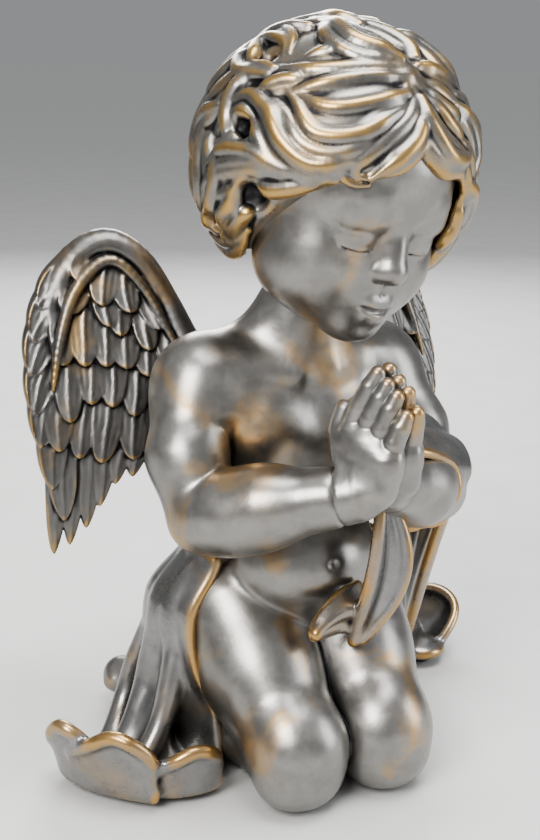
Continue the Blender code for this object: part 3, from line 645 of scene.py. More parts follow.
# The locks spring from a whorl over the brow and sweep to the right side in waves.
# Each is (width, strands, strand radius, lift, turning points as lon, lat).
for width, lanes, r, lift, path in (
    # over the crown, towards the right
    (9, 3, 2.4, 0.6, [(-12, 61), (-42, 55), (-72, 44), (-100, 37)]),
    (9, 3, 2.5, 2.4, [(-20, 63), (-60, 64), (-105, 70), (-135, 66)]),
    (6, 2, 2.6, 2.4, [(-92, 36), (-112, 33), (-134, 38), (-134, 48), (-112, 52), (-96, 46)]),
    (7, 3, 2.0, 0.3, [(-44, 60), (-66, 59), (-80, 52), (-84, 45)]),
    (8, 3, 2.4, 0.9, [(20, 70), (36, 77), (-175, 82), (-110, 74)]),
    (7, 3, 2.1, 0.5, [(-15, 66), (-36, 73), (-78, 76), (-118, 66)]),
    # waves on the right of the brow
    (7, 3, 2.1, 0.4, [(-15, 56), (-42, 50), (-66, 38), (-80, 28)]),
    (6, 2, 2.2, 0.5, [(-17, 52), (-38, 44), (-55, 36), (-74, 37)]),
    (7, 3, 2.2, 0.8, [(-16, 48), (-36, 39), (-54, 32), (-74, 33)]),
    (8, 3, 2.3, 1.1, [(-22, 39), (-38, 26), (-55, 21), (-68, 29), (-78, 33)]),
    (7, 3, 2.2, 0.8, [(-29, 27), (-44, 17), (-58, 16), (-72, 25), (-82, 27)]),
    (8, 3, 2.4, 1.3, [(-38, 16), (-52, 10), (-66, 14), (-80, 23), (-94, 20)]),
    (6, 2, 2.6, 1.8, [(-50, 8), (-64, 8), (-78, 17), (-92, 21), (-97, 13), (-88, 4)]),
    # the fan low on the right, ending in upturned curls
    (6, 2, 2.8, 1.5, [(-43, 9), (-58, 2), (-80, -7), (-99, -19), (-97, -26), (-78, -25)]),
    (6, 2, 2.3, 0.5, [(-53, 3), (-72, 1), (-90, -8), (-112, -21)]),
    (6, 3, 2.0, 0.5, [(-58, 1), (-74, 3), (-92, -5), (-106, -15)]),
    (7, 3, 2.2, 0.9, [(-61, 2), (-76, 6), (-92, 1), (-104, -9)]),
    (6, 2, 2.4, 1.2, [(-64, 1), (-76, 7), (-84, 12), (-90, 15)]),
    # down the right side
    (8, 3, 2.3, 0.6, [(-92, 37), (-108, 31), (-118, 20), (-124, 8), (-128, -5)]),
    (7, 3, 2.2, 0.8, [(-112, 14), (-126, 3), (-126, -8), (-112, -15)]),
    (7, 3, 2.2, 0.9, [(-100, 32), (-105, 24), (-98, 12), (-92, 2)]),
    (7, 3, 2.1, 0.4, [(-72, 40), (-84, 34), (-92, 24)]),
    (6, 2, 2.7, 1.1, [(-104, -16), (-117, -28), (-117, -42), (-98, -46), (-80, -37), (-76, -28)]),
    (4, 2, 2.2, 0.2, [(-95, -17), (-99, -28), (-88, -35), (-74, -29)]),
    # the fringe, turning up in a hook over the brow
    (7, 2, 2.6, 1.4, [(-13, 50), (-19, 41), (-31, 29), (-39, 17), (-36, 10), (-27, 10)]),
    (5, 2, 2.2, 0.9, [(-12, 47), (-19, 35), (-30, 24), (-33, 13)]),
    (5, 2, 2.2, 0.8, [(-10, 44), (-14, 32), (-25, 21), (-31, 12)]),
    (6, 3, 2.1, 0.9, [(-9, 40), (-12, 30), (-21, 20), (-29, 11)]),
    # towards its left ear
    (7, 3, 2.3, 1.0, [(-7, 47), (-4, 36), (8, 25), (24, 25), (33, 30)]),
    (6, 2, 2.4, 0.7, [(-2, 49), (9, 37), (22, 30), (33, 29)]),
    (6, 2, 2.3, 0.5, [(4, 55), (18, 50), (29, 44), (32, 35)]),
    (7, 3, 2.2, 0.5, [(8, 65), (32, 61), (50, 53), (44, 44)]),
    (6, 2, 2.5, 1.2, [(-9, 38), (-3, 31), (9, 26), (20, 21), (28, 13)]),
    (6, 2, 2.3, 0.4, [(5, 60), (24, 55), (35, 46), (35, 35)]),
    (6, 2, 2.4, 0.8, [(18, 30), (27, 24), (32, 16), (31, 7)]),
    (6, 2, 2.3, 0.6, [(-8, 36), (-1, 28), (10, 22), (21, 17)]),
    (4, 2, 2.4, 0.6, [(32, 6), (36, -4), (34, -13), (40, -18)]),
    (8, 3, 2.3, 0.8, [(28, 46), (44, 36), (46, 22), (36, 12)]),
    (8, 3, 2.3, 0.9, [(40, 50), (60, 40), (64, 22), (52, 8)]),
    (7, 3, 2.3, 0.9, [(30, 14), (42, 6), (46, -6), (38, -14)]),
):
    lock(path, 0.92 * width, lanes, 1.08 * r, 1.3 * lift)

# the crown, the sides and the back: tiers of locks in one flowing wave, each over the next
rng = np.random.default_rng(11)
for tier, (count, top, low) in enumerate(((14, 2, -44), (15, 22, -22), (14, 42, 0), (12, 62, 20), (9, 82, 42))):
    for j in range(count):
        lon = 58 + (226 if tier < 3 else 190) * (j + 0.5 * (tier % 2)) / (count - 0.5) + rng.uniform(-2, 2)
        if lon > 232 and tier > 0:
            continue
        path = []
        drop = rng.uniform(-4, 4)
        for i in range(6):
            t = i / 5
            lat = top + (low + drop - top) * t
            wide = 1 / max(0.30, math.cos(math.radians(lat)))
            sway = 8.0 * math.sin(0.05 * lon + 1.1 * tier + 3.9 * t) + 7.0 * max(0, t - 0.66) * 3 * (1 if (j + tier) % 3 else -1)
            path.append((lon + wide * sway, lat))
        lock(path, 8.6, 3, 2.75, 0.5 + 0.35 * tier + rng.uniform(0, 0.8), 0.25, 0.8)
# loose curls where the hair ends, round the sides and the nape
for j in range(13):
    lon = 58 + 184 * j / 12 + rng.uniform(-3, 3)
    lat = -33 - 9 * math.sin(math.pi * j / 12) + rng.uniform(-3, 3) + (18 * (84 - lon) / 28 if lon < 84 else 0)
    size, turn = rng.uniform(8.0, 10.0), rng.choice((-1, 1))
    path = []
    for i in range(7):
        a = turn * (0.4 + 4.6 * i / 6)
        reach = size * (1.05 - 0.10 * i)
        path.append((lon + reach * math.sin(a) / max(0.4, math.cos(math.radians(lat))), lat + reach * math.cos(a)))
    lock(path, 4.5, 2, 2.8, 1.4, 0.4)
# a whorl where the locks part, and hollows between the curls
hair.ball(hair_point(-12, 58, -3.2), 5.0, 3)
for lon, lat, r in ((-108, 41, 2.6), (-86, 12, 2.6), (-105, 2, 1.8), (-94, -31, 2.4), (-73, -12, 4.6)):
    p = hair_point(lon, lat)
    out = (p - HAIR_C) / np.linalg.norm(p - HAIR_C)
    hair.limb(p + out * 2, p - out * 2.5, r, r * 0.6, 3.4, cut=True)

# ----------------------------------------------------------------- the wings
# One wing is drawn in its own plane: a out from the root, n in front, z up.
wing = Field((-12, -9, 57), (63, 9, 163), 0.42)
WN0 = -0.4


def blade(base, tip, width, n0, n1, thick=0.9, point=0.6, groove=0.26, bend=0.0, rim=0.35):
    """A feather from base to tip in the wing's plane, both faces alike."""
    base, tip = arr(base), arr(tip)
    axis = tip - base
    length = np.linalg.norm(axis)
    axis = axis / length
    lo = np.minimum(base, tip) - width - 2
    hi = np.maximum(base, tip) + width + 2
    got = wing.window(arr((lo[0], -9, lo[1])), arr((hi[0], 9, hi[1])))
    sl, a, n, z = got
    da, dz = a - f32(base[0]), z - f32(base[1])
    t = (da * f32(axis[0]) + dz * f32(axis[1])) / f32(length)
    c = -da * f32(axis[1]) + dz * f32(axis[0]) - f32(bend) * t * t
    tc = np.clip(t, 0, 1)
    w = width * np.sqrt(np.clip(tc / 0.22, 0.15, 1)) * np.clip(1 - np.clip((tc - 0.5) / 0.5, 0, 1) ** 2.4, 0, 1) ** point
    lateral = (np.abs(c) - w) * 0.85
    ends = np.maximum(-t, t - 1) * f32(length)
    q = np.clip(np.abs(c) / np.maximum(w, 0.4), 0, 1.3)
    lift = n0 + (n1 - n0) * tc + 0.5 * tc * tc - 0.75 * q * q
    lanes = max(2, round(2 * width / 2.3))
    barbs = groove * np.cos(2 * np.pi * lanes * 0.5 * c / np.maximum(w, 0.5) + 0.9 * np.sin(0.5 * t * length))
    barbs = barbs * (1 - 0.6 * tc)
    shaft = 0.35 * np.exp(-((c / 0.6) ** 2)) * (1 - 0.5 * tc) + rim * np.exp(-(((q - 0.84) / 0.16) ** 2))
    surf = np.abs(n - f32(WN0)) - (lift + thick + barbs + shaft - 0.0)
    d = smooth_max(smooth_max(surf, lateral, 0.9), ends, 0.9)
    wing.put(sl, d.astype(f32), 0.22)


# the long flight feathers
for k, tip in enumerate([(49.0, 64.0), (44.4, 66.6), (39.6, 71.5), (35.6, 78.0), (31.0, 84.5), (26.0, 86.5), (20.6, 88.0), (14.6, 90.5)]):
    t = k / 7
    blade((47 - 36 * t, 133 - 17 * t), tip, 3.9, 0.2 + 0.28 * k, 0.1 + 0.26 * k, 0.7, 0.62, 0.12, 2.0)
# pointed feathers down the outer edge
for base, tip, w in [((46, 108), (51.0, 75), 4.6), ((47, 116), (54.0, 85), 4.8), ((46, 126), (56.6, 98), 5.2), ((44, 134), (57.6, 108), 5.4),
                     ((42, 142), (57.2, 119), 5.4), ((38, 148), (55.6, 129), 5.2), ((34, 152), (52.4, 139), 4.6)]:
    blade(base, tip, w, 0.8, 1.6, 0.8, 0.75, 0.12, -3.0, 0.7)
# rows of rounded coverts, each row in front of the one below, none quite straight
wobble = np.random.default_rng(5)
for row, (n, b0, b1, t0, t1, w, lift) in enumerate([
    (6, (45, 126), (9, 112), (49.0, 94), (12.0, 93), 4.9, 1.3),
    (6, (44, 134), (10, 118), (47.0, 108), (11.5, 103), 4.8, 1.9),
    (6, (42, 143), (12, 126), (46.0, 121), (13.0, 112), 4.6, 2.5),
    (5, (38, 149), (15, 134), (42.0, 132), (15.0, 121), 4.4, 3.0),
    (4, (34, 152), (19, 143), (36.0, 141), (19.0, 131), 4.2, 3.3),
]):
    for k in range(n):
        t = (k + 0.25 * (row % 2)) / (n - 0.75)
        b = arr(b0) * (1 - t) + arr(b1) * t
        e = arr(t0) * (1 - t) + arr(t1) * t + wobble.uniform((-2.2, -3.4), (2.2, 3.4))
        b[1] += 3.0 * math.sin(math.pi * t) * (row >= 1)
        blade(b, e, w * wobble.uniform(0.88, 1.1), lift - 0.9, lift + 0.8 + wobble.uniform(0, 0.9), 0.9, 0.5, 0.09, wobble.uniform(-1.8, 1.8))
# the arm of the wing: a smooth arch with a raised rim
arch = spline([(-8, 103), (1, 111), (8, 124), (13, 138), (19.5, 149.5), (28, 154.6), (37.5, 151), (45.5, 140), (50, 127)], 40)
rr = np.interp(np.linspace(0, 1, 40), [0, 0.16, 0.4, 0.6, 0.8, 1], [5.2, 5.0, 3.2, 3.6, 3.2, 1.2])
wing.chain([(p[0], 0.4, p[1]) for p in arch], rr, 1.0)
for front in (1, -1):
    # a raised lip on the inner side of the arch, where the wing is hollowed
    lip = spline([(9, 117), (14.5, 130), (20, 142), (27, 149.5), (34, 147.5), (41, 139), (46, 126), (49, 114)], 40)
    rr = np.interp(np.linspace(0, 1, 40), [0, 0.25, 0.6, 0.85, 1], [0.7, 1.2, 1.6, 1.4, 0.5])
    wing.chain([(p[0], WN0 + front * 4.6, p[1]) for p in lip], rr, 0.9)
wing.limb((-4, -0.2, 108), (6, -0.2, 112), 6.0, 4.6, 3)


def lean_back(z):
    return 0.16 * ((z - 100) + np.sqrt((z - 100) ** 2 + 15.0**2)) - 1.2


def wing_place(pts, s):
    """From the wing's own plane to the figure: nearly square to the back, upper half leaning back."""
    a, n, z = pts[:, 0], pts[:, 1], pts[:, 2]
    fx, fy = 0.20 * s, -0.98
    x = (14 + a) * s + fx * n
    y = 20 + 0.22 * a + lean_back(z) + fy * n
    return np.stack([x, y, z], 1)


# ---------------------------------------------------------------- the drapery
def cloth(field, fn, nu, nv, r, k=0.12):
    """A thick sheet through fn(u, v), laid as close lines of rounded cord."""
    for i in range(nu + 1):
        u = i / nu
        row = [arr(fn(u, j / nv)) for j in range(nv + 1)]
        rad = [r(u, j / nv) if callable(r) else r for j in range(nv + 1)]
        field.chain(row, rad, k)


def ridge(x, sharp=1.6):
    """A fold's section: rounded crests with narrow valleys between."""
    return 2 * abs(math.sin(0.5 * x)) ** (1 / sharp) - 1


def smooth1(a, b, x):
    t = max(0.0, min(1.0, (x - a) / (b - a)))
    return t * t * (3 - 2 * t)


train = Field((-80, -34, 1.6 - 0.6), (62, 68, 72), 0.66)


def train_sheet(u, v):
    ang = math.radians(-112 + 206 * u)
    full = smooth1(0.0, 0.28, v)
    flare = smooth1(0.2, 1.0, v)
    end = 1 - smooth1(0.0, 0.30, u)
    back = max(0.0, math.cos(ang)) ** 1.5
    puff = smooth1(0.52, 0.30, u) * (10.0 * smooth1(0.0, 0.24, v) * smooth1(0.75, 0.30, v) - 10.0 * smooth1(0.5, 0.9, v))
    rx = 29.5 + 4 * full + (9 - 5 * end) * flare + puff * (1 - 0.55 * end)
    ry = 25.0 + 15 * full * back + 12 * flare
    lean = 7.0 * u + 0.55 * math.sin(5 * u + 2 * v)
    fold = (1.9 * ridge(9.5 * lean + 1.3 * v) + 0.8 * math.sin(23 * u - 2.4 * v)) * (0.12 + 0.95 * smooth1(0.05, 0.7, v))
    x = (rx + fold) * math.sin(ang)
    y = 7 + (ry + fold) * math.cos(ang)
    z = 66 - 62 * v + 2.2 * math.sin(6 * u + 0.6) * (1 - smooth1(0, 0.3, v))
    return (x, y, z + 0.4)


HEM = spline([(-22, -11), (-28, -15), (-34, -17.4), (-40, -18), (-48, -17), (-57, -13.2), (-65, -6), (-71, 3), (-72, 13), (-67, 22)], 101)


def along_hem(u):
    i = min(max(u, 0.0), 1.0) * 100
    j = min(99, int(i))
    p = HEM[j] + (HEM[j + 1] - HEM[j]) * (i - j)
    inward = arr((-42.0, 12.0)) - p
    return p, inward / np.linalg.norm(inward)


def tongue(u0, u1, height, lean, tuck0, tuck1, power=0.42, skew=0.0):
    """A lobe of the upturned hem between u0 and u1: it rises from the floor and flares out."""
    def fn(u, v):
        p, inward = along_hem(u0 + (u1 - u0) * u)
        tuck = tuck0 * (1 - u) ** 3 + tuck1 * u**3
        if v < 0.3:
            t = v / 0.3
            return (*(p + inward * (20 * (1 - t) + 2.5 + tuck * t)), 3.3 + 0.8 * math.sin(9 * u) * (1 - t))
        t = (v - 0.3) / 0.7
        full = (0.16 + 0.84 * max(0.0, 4 * u * (1 - u)) ** power) * (1 + 0.10 * math.sin(7.5 * u - 1.2))
        tall = height * full * (1 + skew * (0.5 - u))
        out = -2.5 + lean * min(1.0, full) ** 2 * t**1.6 + 0.9 * math.sin(math.pi * t) - tuck
        return (*(p - inward * out), 3.1 + tall * (math.sin(0.5 * math.pi * t) ** 0.9))
    return fn


cloth(train, train_sheet, 150, 26, lambda u, v: 1.55 + 0.35 * smooth1(0.93, 1, v) + 0.4 * smooth1(0.03, 0, u))
hem_r = lambda u, v: 1.5 + 0.8 * smooth1(0.90, 1.0, v)
cloth(train, tongue(0.14, 0.47, 13.0, 4.0, 0.0, 3.5, 0.36, 0.35), 40, 20, hem_r)
cloth(train, tongue(0.41, 0.75, 18.5, 5.6, -2.4, 1.0, 0.22, 0.30), 56, 24, hem_r)
cloth(train, tongue(0.65, 0.94, 16.5, 4.4, 0.6, 0.0, 0.34, 0.65), 44, 22, hem_r)
train.ball((-49, 9, 4.5), (15, 16, 4.5), 5)
train.limb((-38, 7, 28), (-48, 6, 6), 4.0, 7.0, 7)
# folds that run from the fall of the cloth out into the upturned hem
for a, b, c, r in (((-39, 2, 40), (-44, -1, 20), (-55, -5, 6), 2.0), ((-39, 14, 44), (-45, 12, 22), (-55, 6, 6), 2.2),
                   ((-38, 24, 40), (-44, 26, 18), (-53, 18, 5), 2.2)):
    train.chain(spline([a, b, c], 14), np.interp(np.linspace(0, 1, 14), [0, 0.3, 1], [0.3 * r, r, 0.9 * r]), 4.0)

drape = Field((12, -50, 1.0), (94, 64, 113), 0.66)


def wrap_sheet(u, v):
    a, b = arr((37, -3, 99)), arr((26, -26, 92))
    c = a + (b - a) * v
    ang = math.radians(-118 + 222 * u)
    r = 11.7 + 1.0 * ridge(24 * u + 2.0 * v, 1.3) * smooth1(0, 0.2, u) + 0.5 * math.sin(9 * v + 6 * u)
    return (c[0] - 2.0 + r * math.cos(ang) * 0.95, c[1] - r * math.cos(ang) * 0.4, c[2] - 3 + r * math.sin(ang) * 0.98)


def over_sheet(u, v):
    """Cloth gathered over the forearm: its hem crosses the arm, and folds fan out from beside the hands."""
    turn = -62 + 222 * u
    first = 0.50 * smooth1(80, 5, turn)
    w = first + (1.0 - 0.2 * smooth1(60, 10, turn) - first) * v
    c = arr((15.5, -35.5, 96)) + (arr((35, -16, 90)) - arr((15.5, -35.5, 96))) * w
    r = 7.0 + 4.8 * w**0.8 + (0.3 + 1.3 * w) * ridge(15 * u + 3.6 * w, 1.25) + 3.4 * smooth1(50, 100, turn) * smooth1(0, 0.45, w) + 1.8 * smooth1(40, 0, turn)
    out, up = arr((0.76, -0.65, 0.0)), arr((0.10, 0.12, 0.99))
    return tuple(c + (out * math.cos(math.radians(turn)) + up * math.sin(math.radians(turn))) * r)


def fall_sheet(u, v):
    p0 = arr((43.5 - 3 * u, -23 + 28 * u, 92 - 7 * u))
    p1 = arr((44.5 + 3 * u, 3 + 18 * u, 46 - 3 * u))
    p2 = arr((63 + 16 * u, 33 + 16 * u, 7))
    a = p0 + (p1 - p0) * v
    p = a + (p1 + (p2 - p1) * v - a) * v
    f = (1.7 * ridge(20 * u + 1.2 * v) + 0.6 * math.sin(31 * u)) * math.sin(math.pi * min(1, v + 0.12)) ** 0.7
    return (p[0] + f * 0.93, p[1] - 0.37 * f, p[2])


def scroll_sheet(u, v):
    """The upturned end of the fall: a cupped lobe that opens to the front and up."""
    opening = arr((-0.46, -0.50, 0.73))
    e1 = np.cross(opening, (0, 0, 1.0))
    e1 /= np.linalg.norm(e1)
    e2 = np.cross(e1, opening)
    a, polar = 2 * math.pi * u, math.radians(6 + 68 * v)
    r = 13.0 + 0.9 * math.sin(3 * a + 0.5) * v
    return tuple(arr((77.5, 46, 15.0)) - opening * (r * math.cos(polar)) + (e1 * math.cos(a) + e2 * math.sin(a)) * (r * math.sin(polar)))


cloth(drape, wrap_sheet, 44, 18, lambda u, v: 1.35 + 0.5 * max(smooth1(0.07, 0, u), smooth1(0.06, 0, v), smooth1(0.94, 1, v)))
cloth(drape, over_sheet, 60, 24, lambda u, v: 1.1 + 0.3 * v + 0.6 * smooth1(0.08, 0, v))
cloth(drape, fall_sheet, 36, 44, lambda u, v: 1.5 + 0.4 * max(smooth1(0.06, 0, u), smooth1(0.94, 1, u)))
drape.ball((74, 40, 4.6), (9.5, 9.5, 3.6), 3)
cloth(drape, scroll_sheet, 60, 16, lambda u, v: 1.3 + 0.7 * smooth1(0.88, 1, v))

lap = Field((-20, -46, 42), (34, -10, 98), 0.5)


def lap_fall(u, v):
    w = 1.6 + 4.4 * math.sin(math.pi * min(1.0, 0.12 + 0.88 * v)) ** 0.9
    c = arr((10.5, -31, 88)) + arr((-4.5, 5.5, -42)) * v
    c[0] += 2.4 * math.sin(3.6 * v - 0.3)
    c[1] -= 4.0 * math.sin(math.pi * v)
    f = 1.9 * abs(2 * u - 1.1) ** 1.2 + 0.5 * math.sin(12 * u)
    twist = 0.5 - 1.3 * v
    off = (2 * u - 1) * w
    return (c[0] + off * math.cos(twist), c[1] + off * math.sin(twist) - 1.2 * f, c[2] + 0.25 * off)


def lap_flap(u, v):
    c = arr((7.5, -24.5, 56)) + arr((-17, -2.4, -4.5)) * u
    f = 1.3 * ridge(8 * v + 2.2 * u, 1.4)
    tall = 11.5 * (1 - u) ** 0.6 + 1.5
    return (c[0], c[1] - 2.6 * math.sin(math.pi * v) - 0.9 * f, c[2] + tall * (0.42 - v) + 2.0 * math.sin(math.pi * u))


cloth(lap, lap_fall, 24, 34, lambda u, v: 1.3 + 0.5 * max(smooth1(0.1, 0, u), smooth1(0.9, 1, u)))
cloth(lap, lap_flap, 24, 16, lambda u, v: 1.2 + 0.45 * max(smooth1(0.1, 0, v), smooth1(0.9, 1, v), smooth1(0.9, 1, u)))
FLOOR = 1.6
for fld in (train, drape, body):
    fld.f = smooth_max(fld.f, (FLOOR - fld.ax[2][None, None, :] + 0 * fld.f), 0.9).astype(f32)

# =========================================================== meshes and shade
pieces = []


def add(piece, name, slot, node):
    piece.update(name=name, slot=slot, node=node)
    pieces.append(piece)


def quiet_seams(piece):
    """Where two castings meet, the crease is a hollow and not a rubbed edge: it takes the dark patina and painted
    shade of a hollow instead of gold.
    """
    for at, n in seams:
        off = piece["pts"] - at
        along = np.abs(off @ n)
        aside = np.linalg.norm(off - np.outer(off @ n, n), axis=1)
        w = ((1 - step(1.2, 3.2, along)) * (aside < 16)).astype(f32)
        for key in ("fine", "broad"):
            v = piece["values"][key]
            piece["values"][key] = v * (1 - w) + w * np.maximum(v, 0.055 if key == "fine" else 0.03)
    return piece


seams.append((arr((1.8, 0.0, 134.0)), arr((0, 0, 1.0))))
whole = quiet_seams(sculpt("body", body, 1.1, 3.0))
labels = np.argmin(np.stack([sampled(body, near[n], whole["pts"]) for n in ("trunk", "right", "left")]), 0)
owner = labels[whole["quads"]].max(1)
for value, name, node in ((0, "torso_and_legs_cast", "torso_and_legs"), (1, "right_arm_cast", "right_arm_and_hand"),
                          (2, "left_arm_cast", "left_arm_and_hand")):
    quads = whole["quads"][owner == value]
    used, index = np.unique(quads, return_inverse=True)
    part = {"pts": whole["pts"][used], "quads": index.reshape(-1, 4), "normals": whole["normals"][used],
            "values": {k: v[used] for k, v in whole["values"].items()}}
    add(part, name, "skin_resin", node)
for s, name in ((-1, "right"), (1, "left")):
    add(quiet_seams(sculpt(name, hand_of[s], 0.8, 2.0)), f"{name}_hand_cast", "skin_resin", f"{name}_arm_and_hand")
head_cast = quiet_seams(sculpt("face", face, 0.8, 2.4))
# less painted shade, and less rubbed gold, from the broad hollows of the face
head_cast["values"]["broad"] = head_cast["values"]["broad"] * f32(0.6)
add(head_cast, "face_and_neck_cast", "skin_resin", "head_and_curls")
hair.f = 0.65 * hair.f + 0.35 * blurred(hair.f, 1)
add(sculpt("hair", hair, 0.9, 2.2), "curls_cast", "hair_resin", "head_and_curls")
flat = sculpt("wing", wing, 0.7, 1.8)
everything.pop()
for s, name in ((-1, "right_wing"), (1, "left_wing")):
    pts = wing_place(flat["pts"], s)
    quads = flat["quads"] if s > 0 else flat["quads"][:, ::-1]
    add({"pts": pts, "quads": quads[:, ::-1], "normals": None, "values": flat["values"]}, name + "_cast", "wing_resin", name)
train.f = blurred(train.f, 1)
add(sculpt("train", train, 1.1, 3.0), "back_train_cast", "cloth_resin", "back_train")
drape.f = blurred(drape.f, 1)
add(sculpt("drape", drape, 1.1, 3.0), "elbow_drape_cast", "cloth_resin", "elbow_drape")
lap.f = blurred(lap.f, 1)
add(sculpt("lap", lap, 1.0, 2.6), "lap_drape_cast", "cloth_resin", "lap_drape")

# how enclosed each point is by the whole figure and the floor, for the painted shade
PITCH = 1.6
room = object.__new__(Field)
room.h, room.lo, room.n = PITCH, arr((-92, -82, -16)), np.array([122, 104, 158])
room.ax = [(room.lo[j] + PITCH * np.arange(room.n[j])).astype(f32) for j in range(3)]
solid = np.zeros(room.n, f32)
for field in everything:
    idx, keep = [], []
    for j in range(3):
        g = np.rint((room.ax[j] - field.lo[j]) / field.h).astype(int)
        ok = (g >= 0) & (g < field.f.shape[j])
        keep.append(np.flatnonzero(ok))
        idx.append(g[ok])
    part = (field.f[np.ix_(*idx)] < 0).astype(f32)
    view = np.ix_(*keep)
    solid[view] = np.maximum(solid[view], part)
for s in (-1, 1):
    gx, gy, gz = np.meshgrid(*room.ax, indexing="ij")
    fx, fy = 0.20 * s, -0.98
    # x = (14 + a) s + fx n ; y = 20 + 0.22 a + lean + fy n
    rx = gx - 14 * s
    ry = gy - 20 - lean_back(gz)
    det = s * fy - fx * 0.22
    a, n = (rx * fy - fx * ry) / det, (s * ry - 0.22 * rx) / det
    g = [np.rint((v - wing.lo[j]) / wing.h).astype(int) for j, v in enumerate((a, n, gz))]
    ok = np.ones(gx.shape, bool)
    for j in range(3):
        ok &= (g[j] >= 0) & (g[j] < wing.f.shape[j])
    hit = np.zeros(gx.shape, f32)
    hit[ok] = wing.f[g[0][ok], g[1][ok], g[2][ok]] < 0
    solid = np.maximum(solid, hit)
# the floor counts as solid, so the painted shade darkens the surface towards it
solid[:, :, room.ax[2] < 0] = 1
near_shade, wide_shade = blurred(solid, 2), blurred(solid, 5)


def mesh_normals(pts, quads):
    q = pts[quads]
    n = np.cross(q[:, 2] - q[:, 0], q[:, 3] - q[:, 1])
    out = np.zeros_like(pts)
    for j in range(4):
        np.add.at(out, quads[:, j], n)
    return out / np.maximum(np.linalg.norm(out, axis=1), 1e-9)[:, None]


def build(piece, material):
    pts, quads = piece["pts"], piece["quads"]
    normals = piece["normals"]
    if normals is None:
        normals = mesh_normals(pts, quads)
    me = bpy.data.meshes.new(piece["name"])
    me.vertices.add(len(pts))
    me.vertices.foreach_set("co", ((pts + SHIFT) * 0.001).astype(f32).ravel())
    me.loops.add(quads.size)
    me.loops.foreach_set("vertex_index", quads.astype(np.int32).ravel())
    me.polygons.add(len(quads))
    me.polygons.foreach_set("loop_start", np.arange(0, quads.size, 4, dtype=np.int32))
    me.update(calc_edges=True)
    me.validate()
    me.shade_smooth()
    me.normals_split_custom_set_from_vertices([tuple(v) for v in normals.astype(float)])
    values = dict(piece["values"])
    # painted shade: darker where the figure and the floor enclose the point, near and wide
    out = pts + normals * 1.8
    values["shade"] = (0.55 * sampled(room, near_shade, out) + 0.45 * sampled(room, wide_shade, pts + normals * 5)).astype(f32)
    for key, data in values.items():
        layer = me.attributes.new(key, "FLOAT", "POINT")
        layer.data.foreach_set("value", np.ascontiguousarray(data, f32))
    me.materials.append(material)
    ob = bpy.data.objects.new(piece["name"], me)
    bpy.context.scene.collection.objects.link(ob)
    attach(ob, "root")
    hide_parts(piece["node"])
    print(piece["name"], len(quads) * 2, "triangles")
    return ob


# ================================================================== materials
class Nodes:
    """A short way to write a procedural node material."""

    def __init__(self, name):
        self.mat = bpy.data.materials.new(name)
        self.mat.use_nodes = True
        self.tree = self.mat.node_tree
        self.tree.nodes.clear()
        self.out = self.tree.nodes.new("ShaderNodeOutputMaterial")
        self.bsdf = self.tree.nodes.new("ShaderNodeBsdfPrincipled")
        self.tree.links.new(self.bsdf.outputs[0], self.out.inputs[0])
        geo = self.tree.nodes.new("ShaderNodeTexCoord")
        self.pos = geo.outputs["Object"]

    def link(self, socket, value):
        if isinstance(value, bpy.types.NodeSocket):
            self.tree.links.new(value, socket)
        elif isinstance(value, tuple):
            socket.default_value = (*value, 1.0) if len(value) == 3 and socket.type == "RGBA" else value
        else:
            socket.default_value = value

    def attribute(self, name):
        n = self.tree.nodes.new("ShaderNodeAttribute")
        n.attribute_name = name
        return n.outputs["Fac"]

    def noise(self, scale, detail=4.0, rough=0.55, distort=0.0):
        n = self.tree.nodes.new("ShaderNodeTexNoise")
        self.link(n.inputs["Vector"], self.pos)
        n.inputs["Scale"].default_value = scale
        n.inputs["Detail"].default_value = detail
        n.inputs["Roughness"].default_value = rough
        n.inputs["Distortion"].default_value = distort
        return n.outputs["Fac"]

    def remap(self, value, a, b, c=0.0, d=1.0, smooth=True):
        n = self.tree.nodes.new("ShaderNodeMapRange")
        n.interpolation_type = "SMOOTHSTEP" if smooth else "LINEAR"
        for key, v in zip(("Value", "From Min", "From Max", "To Min", "To Max"), (value, a, b, c, d)):
            self.link(n.inputs[key], v)
        return n.outputs[0]

    def math(self, op, a, b=0.0):
        n = self.tree.nodes.new("ShaderNodeMath")
        n.operation = op
        n.use_clamp = op in ("MULTIPLY", "ADD") and False
        self.link(n.inputs[0], a)
        self.link(n.inputs[1], b)
        return n.outputs[0]

    def mix(self, fac, a, b):
        n = self.tree.nodes.new("ShaderNodeMix")
        n.data_type = "RGBA"
        self.link(n.inputs[0], fac)
        self.link(n.inputs[6], a)
        self.link(n.inputs[7], b)
        return n.outputs[2]

    def bump(self, height, strength, distance):
        n = self.tree.nodes.new("ShaderNodeBump")
        n.inputs["Strength"].default_value = strength
        n.inputs["Distance"].default_value = distance
        self.link(n.inputs["Height"], height)
        self.link(self.bsdf.inputs["Normal"], n.outputs[0])


